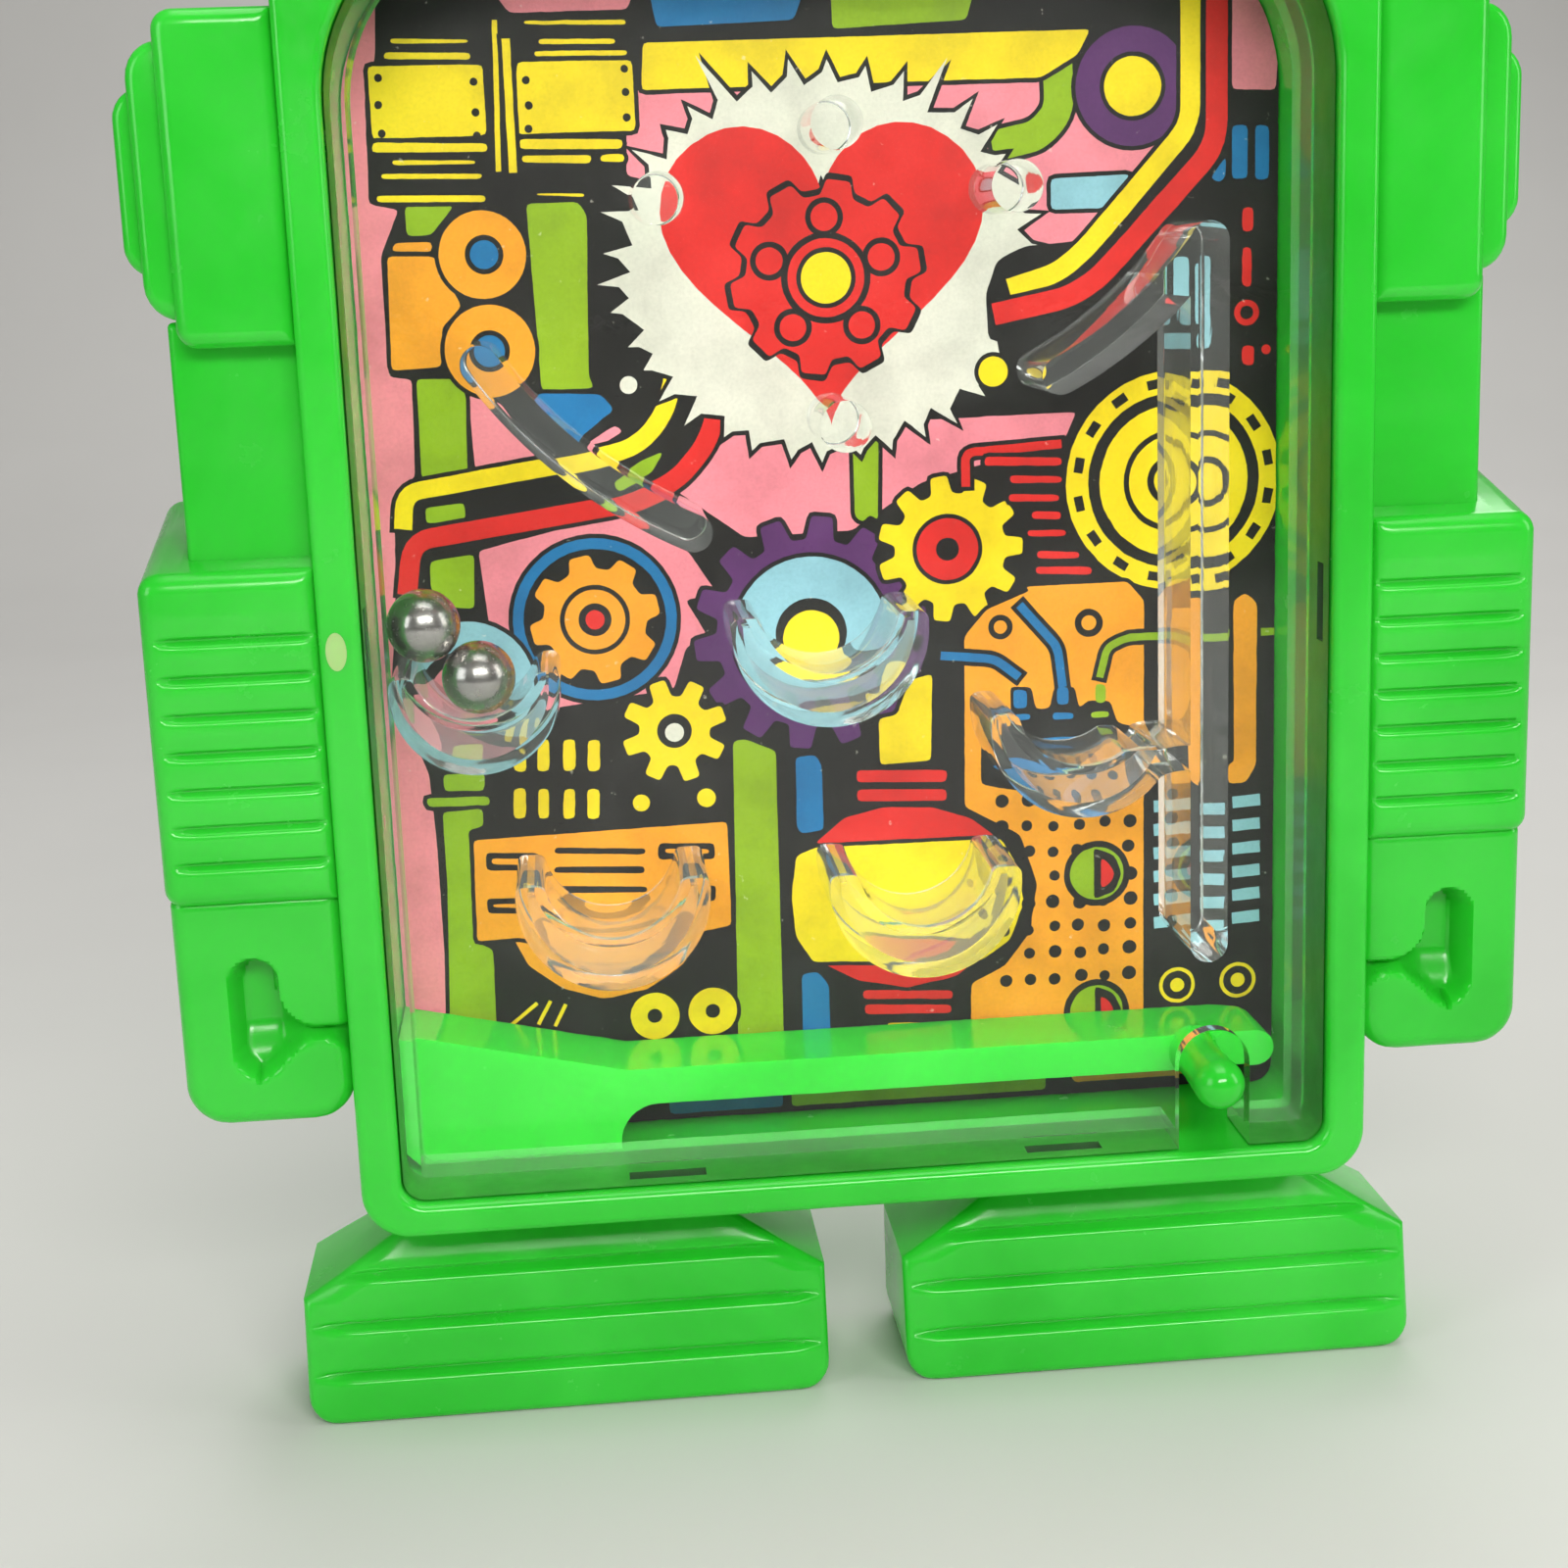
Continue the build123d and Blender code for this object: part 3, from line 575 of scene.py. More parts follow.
def drums():
    """Two riveted drums, and the long pipe beside them that ends at a wheel."""
    poly("yellow", (-27.6, 86), (-20.6, 85.9), (-20.6, 81.7), (-27.6, 81.7))
    poly("yellow", (-18.5, 86), (-11.4, 85.9), (-11.4, 81.7), (-18.7, 81.7))
    for x, z in (
        (-27, 85.3), (-27.1, 83.7), (-27, 82), (-21.2, 84.9), (-21.2, 83.1), (-21.2, 81.7), (-18, 84.9),
        (-17.9, 83.4), (-18, 82), (-11.9, 85.4), (-11.9, 84), (-11.9, 82.5),
    ):
        dot("black", x, z, 0.25)
    polys(
        "yellow",
        ((-27.6, 81.5), (-20.6, 81.2), (-20.6, 80.7), (-27.7, 80.9)),
        ((-26.5, 80.4), (-21.4, 80.2), (-21.4, 80), (-26.5, 80.1)),
        ((-27.2, 79.6), (-21, 79.4), (-21.1, 79.1), (-27.2, 79.3)),
        ((-27.6, 78.3), (-20.9, 78.1), (-20.9, 77.7), (-27.6, 77.9)),
        ((-26.5, 86.8), (-21.3, 86.6), (-21.3, 86.2), (-26.6, 86.4)),
        ((-26.1, 87.6), (-21.4, 87.4), (-21.4, 87.2), (-26.1, 87.3)),
        ((-18.6, 81.4), (-12.2, 81.2), (-12.3, 80.6), (-18.6, 80.8)),
        ((-18.5, 80.4), (-14.2, 80.3), (-14.3, 79.8), (-18.5, 80)),
        ((-13.6, 80.3), (-12.2, 80.3), (-12.2, 79.8), (-13.7, 79.9)),
        ((-17.7, 78.1), (-14.8, 78), (-14.8, 77.8), (-17.7, 78)),
        ((-17.4, 86.6), (-11.7, 86.5), (-11.7, 86.2), (-17.4, 86.3)),
        ((-17.1, 87.3), (-12.4, 87.2), (-12.4, 86.9), (-17.1, 87)),
        ((-17.9, 88.4), (-11.7, 88.3), (-11.7, 88), (-17.9, 88.2)),
    )
    pipe("yellow", 0.32, (-19.7, 88.5), (-20, 79.5))
    pipe("yellow", 0.5, (-19.1, 87.4), (-19.1, 79.4))
    # Long pipe to a wheel
    poly("yellow", (-10.7, 86.9), (17.3, 86.9), (16.5, 85.4), (14.1, 84.1), (-10.9, 84.1))
    disc("purple", 20, 83.4, 3.66)
    disc("yellow", 20, 83.4, 1.83)
    poly("blue", (-10.5, 91.8), (0.1, 91.5), (-1.3, 88), (-9.8, 87.8))
    poly("blue", (-1.7, 83.7), (-0.1, 83.7), (-0.1, 82), (-1.8, 82.1))


def left_pipes():
    """A yellow and a red pipe that bend down the left side."""
    pipe(
        "yellow", 1.14, (-9.6, 67.2), (-10.3, 64.3), (-12.2, 62.2), (-15.4, 61.5), (-27.1, 59.9),
        (-27.4, 57.6),
    )
    pipe("red", 1.26, (-6.9, 64.9), (-7.7, 62.3), (-9.8, 59.9), (-13.1, 58.6), (-26.9, 56.8), (-27.4, 53.4))


def right_pipes():
    """The pipes that bend down on the right, and twin reels on the left."""
    poly(
        "black", (11.4, 72.8), (13, 73.5), (17.1, 73.8), (17.7, 73), (16.9, 70.7), (13.8, 68),
        (10.8, 68.2), (10.7, 70.9),
    )
    poly("sky", (14.7, 77.9), (19.8, 78), (18.1, 76), (14.7, 76))
    pipe("yellow", 1.26, (23.7, 90.9), (23.7, 80.9), (17, 73.6), (15.2, 72.1), (11.9, 71.2))
    pipe("red", 1.39, (25.4, 90.8), (25.4, 79.6), (17.7, 71.6), (15.8, 70.5), (10.9, 69.6))
    # Twin reels
    poly("orange", (-27.2, 74.6), (-24.3, 74.5), (-22.8, 71.4), (-24.1, 70.1), (-24.3, 67.7), (-27.4, 67.6))
    poly("orange", (-26.7, 75.4), (-24.4, 75.4), (-24.4, 74.8), (-26.9, 74.9))
    disc("orange", -21.3, 74.5, 2.71)
    dots(-21.2, 74.5, ("black", 1.2), ("blue", 0.88))
    rings(-21.2, 68.6, ("orange", 2.84), ("black", 1.26), ("blue", 0.95))
    poly("blue", (-18.4, 65.8), (-14.4, 65.6), (-13.6, 64.6), (-16, 62.8), (-18.3, 65.1))
    dot("white", -12.6, 66.1, 0.57)
    disc("yellow", 10.8, 66, 0.95)
    disc("yellow", 13.2, 66, 0.76)


def gears():
    """Gears and wheels across the middle, with red fins behind them."""
    rings(-15.5, 51.2, ("blue", 5.3), ("black", 4.6))
    gear("orange", -15.5, 51.2, 4.23, 3.34, 8, 0.2)
    dots(-15.5, 51.2, ("black", 2.27), ("orange", 1.96), ("black", 1.07), ("red", 0.63))
    # Purple gear
    gear("purple", -1.5, 49.6, 7.69, 6.18, 14, 0.1)
    rings(-1.5, 49.6, ("sky", 5.05), ("black", 2.33))
    dot("yellow", -1.5, 49.3, 1.83)
    # Pale wheel behind the wall cup
    disc("sky", -23.9, 47.2, 4.29)
    dots(-24.4, 46.9, ("black", 2.65), ("pink", 1.89))
    # Yellow gear with a red hub
    gear("yellow", 7.8, 54.7, 4.79, 3.66, 11, 0)
    rings(7.6, 54.7, ("red", 2.02), ("black", 0.76))
    # Red fins
    pipe("red", 0.57, (8.9, 58.7), (8.9, 60.9), (15.2, 61.2))
    polys(
        "red",
        ((10.2, 60.6), (15.2, 60.3), (15.2, 59.8), (10.1, 60)),
        ((11.8, 59.3), (15.2, 59.1), (15.2, 58.7), (11.8, 58.8)),
        ((11.7, 58.1), (15, 57.9), (15, 57.5), (11.7, 57.6)),
        ((13.2, 56.9), (15.1, 56.8), (15.1, 56.3), (13.2, 56.4)),
        ((12.9, 55.7), (15.4, 55.6), (15.4, 55.2), (12.9, 55.3)),
        ((13.5, 54.3), (16.3, 54.1), (16.3, 53.7), (13.5, 53.8)),
        ((13.4, 53.3), (17.1, 53.1), (17.1, 52.6), (13.4, 52.8)),
    )


def dial():
    """A slotted dial, and the columns and marks beside the lane."""
    disc("yellow", 22.6, 58.5, 7.13)
    slots(22.6, 58.5, 6.37)
    dots(22.6, 58.5, ("black", 5.68), ("yellow", 4.92), ("black", 3.34), ("yellow", 2.96))
    dots(22.5, 58.5, ("black", 1.64), ("yellow", 1.2))
    # Pale columns and marks beside the lane
    polys(
        "sky",
        ((22.2, 72.8), (23.2, 72.8), (23.2, 67), (22.2, 67)),
        ((23.6, 72.4), (24.4, 72.3), (24.4, 68.5), (23.6, 68.5)),
        ((24.8, 73), (26, 72.9), (26.1, 68.4), (24.8, 68.5)),
        ((23.7, 68), (26.1, 67.9), (26.1, 66.9), (23.7, 67)),
    )
    polys(
        "blue",
        ((26.4, 80.8), (27.4, 80.8), (27.4, 77.5), (26.4, 77.5)),
        ((27.9, 80.8), (28.8, 80.7), (28.8, 77.4), (27.9, 77.4)),
        ((25, 77.6), (26, 78.9), (26, 77.7), (25.6, 77.3)),
    )
    poly("red", (27.1, 75.7), (27.8, 75.7), (27.8, 74.2), (27.1, 74.2))
    poly("red", (27.1, 73.2), (27.7, 73.2), (27.7, 70.7), (27.1, 70.8))
    rings(27.4, 69.1, ("red", 0.82), ("black", 0.44))
    disc("red", 28.7, 66.7, 0.32)
    poly("red", (27.1, 67), (27.9, 67), (27.9, 65.7), (27.1, 65.8))


def control_panel():
    """A small gear, rows of dashes and the control panel below them."""
    gear("yellow", -10.7, 43.6, 3.47, 2.33, 8, 0.3)
    dot("black", -10.7, 43.6, 1.14)
    dot("white", -10.7, 43.5, 0.63)
    polys(
        "yellow",
        ((-21.2, 43.6), (-20.4, 43.5), (-20.5, 41.4), (-21.3, 41.5)),
        ((-21.4, 40.3), (-20.6, 40.3), (-20.7, 38.3), (-21.5, 38.3)),
        ((-19.6, 43.5), (-18.9, 43.5), (-19, 41.4), (-19.8, 41.4)),
        ((-19.8, 40.2), (-19.1, 40.2), (-19.2, 38.2), (-19.9, 38.2)),
        ((-18, 43.4), (-17.2, 43.4), (-17.3, 41.3), (-18.1, 41.3)),
        ((-18.1, 40.1), (-17.4, 40.1), (-17.5, 38.1), (-18.3, 38.1)),
        ((-16.4, 43.3), (-15.6, 43.3), (-15.7, 41.2), (-16.5, 41.2)),
        ((-16.6, 40), (-15.8, 40), (-15.9, 38), (-16.7, 38)),
    )
    dot("yellow", -13.1, 38.9, 0.57)
    dot("yellow", -8.8, 39, 0.63)
    # Control panel
    poly(
        "orange", (-22.2, 30.6), (-21.1, 28.2), (-18.9, 26.5), (-16.2, 25.6), (-13.3, 26.1),
        (-10.8, 27.7), (-9.4, 30.2),
    )
    poly(
        "orange", (-24.2, 37), (-7.5, 37.3), (-7.5, 30.2), (-9.4, 29.9), (-16.1, 28.5), (-21.6, 30.2),
        (-24.4, 30.1),
    )
    polys(
        "black",
        ((-18.9, 36.2), (-13, 35.8), (-13, 35.4), (-19, 35.8)),
        ((-19, 34.9), (-13.1, 34.6), (-13.1, 34.1), (-19.1, 34.5)),
        ((-19.1, 33.6), (-13, 33.2), (-13, 32.8), (-19.1, 33.1)),
        ((-23.5, 36.1), (-20, 35.9), (-20.1, 34.7), (-23.5, 34.9)),
        line=0,
    )
    flat("orange", (-23.1, 35.7), (-20.4, 35.5), (-20.4, 35.1), (-23.1, 35.3))
    flat("black", (-12.1, 36.1), (-8.4, 35.9), (-8.4, 34.8), (-12.2, 35))
    flat("orange", (-11.7, 35.7), (-8.8, 35.5), (-8.8, 35.2), (-11.7, 35.4))
    flat("black", (-23.6, 33), (-20.8, 32.9), (-20.9, 31.8), (-23.6, 32))
    flat("orange", (-23.2, 32.6), (-21.2, 32.5), (-21.2, 32.2), (-23.2, 32.4))
    flat("black", (-10.4, 33.1), (-8.4, 33), (-8.5, 31.9), (-10.4, 32.1))
    flat("orange", (-10, 32.6), (-8.9, 32.6), (-8.9, 32.4), (-10, 32.4))
    pipe("yellow", 0.25, (-22.6, 24.1), (-20.7, 25.6))
    pipe("yellow", 0.25, (-20.7, 24.1), (-19.8, 25.7))
    pipe("yellow", 0.25, (-19.6, 23.9), (-18.8, 25.4))
    rings(-12.9, 24.2, ("yellow", 1.64), ("black", 0.5))
    rings(-9, 24.3, ("yellow", 1.64), ("black", 0.5))


def lamp():
    """A round lamp on a finned neck, with bars beside it."""
    poly("blue", (-2.8, 41.4), (-1.5, 41.5), (-1.1, 40.8), (-1.1, 36.4), (-2.6, 36.2), (-2.9, 36.7))
    poly("blue", (-2.9, 26.5), (-1.8, 26.6), (-1.1, 25.6), (-1.1, 20), (-3, 20.1))
    poly("yellow", (4.9, 46.2), (6.4, 46.5), (6.2, 40.7), (2.8, 40.6), (2.8, 43.7), (4, 43.9))
    # Round lamp on a finned neck
    polys(
        "red",
        ((1.2, 40.3), (7.3, 40), (7.2, 39.2), (1.2, 39.5)),
        ((1.2, 39), (7.2, 38.7), (7.2, 37.9), (1.2, 38.2)),
        ((1.2, 25.1), (7.3, 24.7), (7.3, 24.1), (1.2, 24.5)),
        ((1.3, 24.1), (7.2, 23.7), (7.2, 23.1), (1.3, 23.4)),
        ((-1.7, 35.5), (0.3, 37.1), (2.9, 37.7), (6.2, 37.5), (8.8, 36.6), (10.4, 35.3)),
        ((-1.7, 27.3), (9.3, 27), (7.6, 25.7), (4.2, 25.1), (0.9, 25.8)),
    )
    polys(
        "yellow",
        (
            (-3, 34.7), (-1.7, 35.2), (10.8, 35.1), (11.8, 33.3), (12.3, 30.6), (11.3, 28), (9.3, 26.7),
            (-2.1, 27.3), (-3.2, 29.1), (-3.4, 32),
        ),
        ((2.8, 22.7), (6.2, 22.5), (6.1, 22.1), (2.8, 22.3)),
        ((6.8, 22.4), (8, 22.4), (8, 21.9), (6.8, 22)),
    )


def circuit_panel():
    """Circuit panel with tubes, holes and two half dials."""
    poly(
        "orange", (8.6, 48.9), (10.1, 50.6), (13, 51.7), (12.7, 52), (19.5, 52), (20.6, 50.7),
        (20.4, 20.1), (8.5, 20.9), (8.6, 25.1), (10.9, 26.2), (12.7, 28.5), (13.2, 31.9), (12.1, 35.3),
        (8.4, 37.4),
    )
    flat(
        "black", (9.6, 42.3), (11.6, 43.3), (11.6, 45.4), (13, 45.3), (13.3, 43.8), (14.2, 43.8),
        (14.5, 45.2), (15.9, 45.2), (16.2, 43.7), (16.8, 44.2), (18.3, 44.1), (18.8, 42.6), (20.5, 42.1),
        (20.5, 40.2), (17.4, 38.4), (12.1, 38.3), (9.5, 38.9),
    )
    dots(11, 49.4, ("black", 0.82), ("orange", 0.44))
    dots(16.9, 49.4, ("black", 0.95), ("orange", 0.5))
    pipe("blue", 0.57, (12.3, 50.8), (14.8, 47.9), (15.1, 45.2))
    pipe("blue", 0.57, (7, 47.7), (10.6, 47.3), (12.2, 46))
    pipe("lime", 0.5, (29.6, 48.2), (19.5, 48.3), (18.1, 47.7), (17.6, 45.7))
    polys(
        "blue",
        ((11.8, 45.2), (12.7, 45.1), (12.7, 43.9), (11.8, 43.9)),
        ((11.7, 43.5), (12.9, 43.5), (12.9, 43.1), (11.7, 43.1)),
        ((14.7, 45.2), (15.5, 45.2), (15.5, 44), (14.7, 44)),
        ((14.4, 43.5), (15.8, 43.4), (15.8, 43), (14.4, 43)),
        line=0,
    )
    flat("lime", (17.3, 45.3), (18, 45.2), (18, 44), (17.3, 44))
    flat("lime", (17, 43.4), (18.2, 43.4), (18.2, 43), (17, 43))
    flat("blue", (13.5, 41.8), (19.5, 41.8), (18.8, 41.1), (14.8, 41))
    flat("blue", (10.2, 40.1), (12.2, 40.3), (16.1, 39.1), (12.1, 39))
    # Perforated panel with two half dials
    perforations()
    dots(17.3, 32.3, ("black", 2.27), ("lime", 1.83))
    flat("black", (17.1, 34.1), (18.5, 33.5), (19, 32.2), (18.5, 31), (17.1, 30.5))
    flat("red", (17.6, 33.4), (18.2, 32.9), (18.5, 32.2), (18.2, 31.6), (17.6, 31.2))
    dots(17.2, 22.6, ("black", 2.27), ("lime", 1.83))
    flat("black", (17.1, 24.4), (18.4, 23.8), (19, 22.5), (18.4, 21.3), (17, 20.8))
    flat("red", (17.5, 23.7), (18.1, 23.2), (18.4, 22.5), (18.1, 21.9), (17.5, 21.5))


def lane():
    """What shows behind the lane and below the lever."""
    polys(
        "orange",
        ((22.8, 50.9), (24, 51), (24, 38.2), (23.2, 38.8), (23.1, 42.1)),
        ((24.3, 50.1), (26, 50), (26.1, 40.6), (25.8, 38.2), (24.3, 38.2)),
        (
            (26.6, 50.4), (27.4, 50.9), (28.2, 50.2), (28.2, 39.2), (27.5, 38), (26.3, 38), (26.3, 39.3),
            (26.7, 39.5),
        ),
    )
    # Vent bars and ring targets
    for row in range(6):
        for x in (21.2, 23.9, 26.6):
            pipe("sky", 0.8, (x, 36.7 - 1.62 * row), (x + 1.9, 36.8 - 1.62 * row), line=0)
    rings(22.8, 24.1, ("yellow", 1.26), ("black", 1.01), ("yellow", 0.5))
    rings(27, 24.2, ("yellow", 1.26), ("black", 1.01), ("yellow", 0.5))
    # Below the lever
    poly("blue", (-12.2, 20.4), (-4.5, 20.2), (-4.5, 17.2), (-12.2, 17.2))
    poly("lime", (-3.9, 20.2), (13.6, 19.8), (13.6, 17.2), (-3.9, 17.2))
    poly("orange", (14.4, 20.2), (23.6, 19.9), (23.6, 17.6), (15.6, 17.6))


def artwork():
    """A made-up machine, drawn in millimetres from the ground up."""
    for draw in (
        ground, drums, left_pipes, burst, right_pipes, gears, dial, control_panel, lamp, circuit_panel,
        lane,
    ):
        draw()


def card_outline(inset):
    """The card's own outline, in millimetres."""
    lo, hi = CARD[0] / MM, CARD[1] / MM
    top_r, low_r = 10.9 - inset, max(1.4 - inset, 0.3)
    x0, x1, z0, z1 = lo.x + inset, hi.x - inset, lo.z + inset, hi.z - inset
    points = list(arc(x1 - low_r, z0 + low_r, low_r, -90, 0, 6))
    points += list(arc(x1 - top_r, z1 - top_r, top_r, 0, 90, 24))
    points += list(arc(x0 + top_r, z1 - top_r, top_r, 90, 180, 24))
    points += list(arc(x0 + low_r, z0 + low_r, low_r, 180, 270, 6))
    return points


def printed_card():
    """The card as one closed mesh, its front cut along every printed outline."""
    artwork()
    shapes = [(card_outline(0.0), "black")] + card_shapes
    points, faces = [], []
    for outline, _ in shapes:
        ring = outline if turns_left(outline) else outline[::-1]
        faces.append(list(range(len(points), len(points) + len(ring))))
        points += [Vector(p) for p in ring]
    places, _, parts, _, _, sources = delaunay_2d_cdt(points, [], faces, 1, 1e-4, True)
    names = list(INKS)
    bm = bmesh.new()
    front_y, back_y = CARD[0].y, CARD[1].y
    verts = [bm.verts.new((p.x * MM, front_y, p.y * MM)) for p in places]
    for part, owners in zip(parts, sources):
        if 0 not in owners:
            continue
        face = bm.faces.new([verts[i] for i in part])
        face.material_index = names.index(shapes[max(owners)][1])
    for vert in [v for v in bm.verts if not v.link_faces]:
        bm.verts.remove(vert)
    border = [e.link_loops[0] for e in bm.edges if len(e.link_faces) == 1]
    following = {loop.vert: loop.link_loop_next.vert for loop in border}
    ring = [border[0].vert]
    while following[ring[-1]] != ring[0]:
        ring.append(following[ring[-1]])
    behind = [bm.verts.new((v.co.x, back_y, v.co.z)) for v in ring]
    sides = zip(ring, behind, behind[1:] + behind[:1], ring[1:] + ring[:1])
    paper = [bm.faces.new(corners) for corners in sides] + [bm.faces.new(behind[::-1])]
    for face in paper:
        face.material_index = names.index("card")
    card = finished("printed_card", bm, [printed_ink("ink_" + n, c) for n, c in INKS.items()])
    card.data.shade_flat()
    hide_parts("playfield_card")
    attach(card, "root")


printed_card()

# ---- green mouldings
for shell, softness in (("casing", 0.12), ("back_cover", 0.12), ("head", 0.2)):
    stand_for(shell, GREEN, softness * MM)
stand_for("back_screws", SCREW, 0.06 * MM)


# ---- arms and feet
def eased(value, low, high):
    """0 below low, 1 above high, smooth between."""
    t = min(1.0, max(0.0, (value - low) / (high - low)))
    return t * t * (3 - 2 * t)


def reach_to_outline(x, z, outline):
    """Distance from a point to the nearest side of a closed outline."""
    best = 1e9
    for (ax, az), (bx, bz) in zip(outline, outline[1:] + outline[:1]):
        ux, uz = bx - ax, bz - az
        length = ux * ux + uz * uz
        t = 0.0 if length < 1e-12 else min(1.0, max(0.0, ((x - ax) * ux + (z - az) * uz) / length))
        best = min(best, math.hypot(x - ax - t * ux, z - az - t * uz))
    return best


def levels(low, high, step, edge, corner=0.0, extra=()):
    """Heights for a block's rows: even steps, closer where edges and corners are round."""
    places = {low, high}
    for radius in (edge, corner):
        for k in range(1, 7):
            places.add(low + radius * (1 - math.cos(k * math.pi / 12)))
            places.add(high - radius * (1 - math.cos(k * math.pi / 12)))
    count = max(2, round((high - low) / step))
    places.update(low + (high - low) * k / count for k in range(1, count))
    places.update(extra)
    rows = []
    for z in sorted(places):
        if not rows or z - rows[-1] > 0.035:
            rows.append(z)
    rows[-1] = high
    return rows


def moulded_block(left, right, rows, front, back, edge, step, lean=0.0):
    """A closed block in millimetres, shaped by depth over its outline, round at its edges.

    Its back may lean: it stands this much higher at the top than its front does."""
    bends = [1 - math.cos(k * math.pi / 12) for k in range(7)]
    middle = max(1, round((right(rows[len(rows) // 2]) - left(rows[len(rows) // 2])) / step))
    outline = [(left(z), z) for z in rows] + [(right(z), z) for z in reversed(rows)]
    bm = bmesh.new()
    sheets = []
    for depth, side in ((front, 1.0), (back, -1.0)):
        sheet = []
        for z in rows:
            x0, x1 = left(z), right(z)
            round_x = min(edge, 0.45 * (x1 - x0))
            xs = [x0 + round_x * b for b in bends]
            xs += [x0 + round_x + (x1 - x0 - 2 * round_x) * k / middle for k in range(1, middle)]
            xs += [x1 - round_x * b for b in reversed(bends)]
            line = []
            for x in xs:
                inside = edge - min(reach_to_outline(x, z, outline), edge)
                y = depth(x, z) + side * (edge - math.sqrt(max(edge * edge - inside * inside, 0.0)))
                up = lean * (z - rows[0]) / (rows[-1] - rows[0]) if side < 0 else 0.0
                line.append(bm.verts.new((x * MM, y * MM, (z + up) * MM)))
            sheet.append(line)
        sheets.append(sheet)
        for a, b in zip(sheet, sheet[1:]):
            for i in range(len(a) - 1):
                bm.faces.new((a[i], a[i + 1], b[i + 1], b[i]))
    near, far = (
        s[0] + [r[-1] for r in s[1:]] + s[-1][-2::-1] + [r[0] for r in s[-2:0:-1]] for s in sheets
    )
    for i in range(len(near)):
        j = (i + 1) % len(near)
        bm.faces.new((near[i], far[i], far[j], near[j]))
    bmesh.ops.recalc_face_normals(bm, faces=bm.faces)
    return bm


def corner_cut(z, low, high, low_r, high_r):
    """How far a rounded corner takes the side in at this height."""
    if z - low < low_r:
        return low_r - math.sqrt(max(low_r**2 - (low_r - z + low) ** 2, 0.0))
    if high - z < high_r:
        return high_r - math.sqrt(max(high_r**2 - (high_r - high + z) ** 2, 0.0))
    return 0.0


HALF_BODY = CASING[1].x / MM
RIM = RIM_Y / MM
LEG = CASING[0].z / MM
BODY = (CASING[1].z - CASING[0].z) / MM


def plain_block(x0, x1, z0, z1, y0, y1, edge, low_r, high_r, step=1.6):
    """A block with flat front and back and rounded outer corners."""
    rows = levels(z0, z1, step, edge, max(low_r, high_r))

    def outer(z):
        return x1 - corner_cut(z, z0, z1, low_r, high_r)

    return moulded_block(lambda z: x0, outer, rows, lambda x, z: y0, lambda x, z: y1, edge, step)


def forearm():
    """Ribbed sleeve: seven rolled grooves that fade out before the outer edge."""
    z0, z1 = LEG + 0.268 * BODY, LEG + 0.516 * BODY
    x0, x1 = HALF_BODY - 0.05, HALF_BODY + 10.4
    grooves = [z0 + 2.6 + 2.28 * k for k in range(7)]
    steps = (-0.62, -0.46, -0.32, -0.2, -0.1, 0.0, 0.1, 0.2, 0.32, 0.46)
    extra = [g + t for g in grooves for t in steps]

    def front(x, z):
        cut = 0.0
        for g in grooves:
            t = z - g - 0.06
            cut += 0.55 * math.exp(-((t / (0.26 if t < 0 else 0.17)) ** 2))
        fade = eased(x - x0, 0.25, 1.0) * (1.0 - eased(x, x1 - 1.45, x1 - 0.85))
        return RIM + 0.3 + cut * fade

    rows = levels(z0, z1, 1.2, 1.1, 1.1, extra)

    def outer(z):
        return x1 - corner_cut(z, z0, z1, 1.1, 1.3)

    return moulded_block(lambda z: x0, outer, rows, front, lambda x, z: RIM + 14.6, 1.1, 0.9, 3.0)


def hand():
    """Gripping hand: a scooped slot, and a rounded thumb below a rounded palm."""
    z0, z1 = LEG + 0.094 * BODY, LEG + 0.268 * BODY + 0.6
    x0, x1 = HALF_BODY - 0.05, HALF_BODY + 10.3
    slot_x, palm_z, thumb_x, thumb_z = HALF_BODY + 5.6, z0 + 6.15, HALF_BODY + 1.95, z0 + 3.45

    def pocket(x, z):
        """How deep inside the slot's outline this point lies."""
        end = max(z - (z0 + 9.15), (z0 + 4.6) - z, 0.0)
        slot = 1.5 - math.hypot(x - slot_x, end)
        palm = palm_z
        if x > thumb_x:
            turn = min(x - thumb_x, 2.2)
            palm = palm_z + 2.2 - math.sqrt(2.2**2 - turn**2)
        thumb = thumb_z + math.sqrt(max(2.0**2 - (x - thumb_x) ** 2, 0.0))
        if x > thumb_x + 0.9:
            thumb = thumb_z + 1.79 - 0.82 * (x - thumb_x - 0.9)
        mouth = min(palm - z, z - thumb) + 0.12 if x < slot_x + 0.3 else -1.0
        return max(slot, mouth)

    def front(x, z):
        inside = pocket(x, z)
        scoop = 0.62 + 0.38 * eased(z, z0 + 3.6, z0 + 6.2)
        narrow = 0.5 + 0.5 * eased(x, thumb_x + 0.4, slot_x - 1.0)
        return RIM + 1.2 + 2.7 * scoop * narrow * eased(inside, -0.12, 0.62)

    rows = levels(z0, z1, 0.24, 1.0, 2.6)

    def inner(z):
        return x0 + corner_cut(z, z0, z1, 2.6, 0.01)

    def outer(z):
        return x1 - corner_cut(z, z0, z1, 2.6, 0.8)

    return moulded_block(inner, outer, rows, front, lambda x, z: RIM + 13.4, 1.0, 0.26)


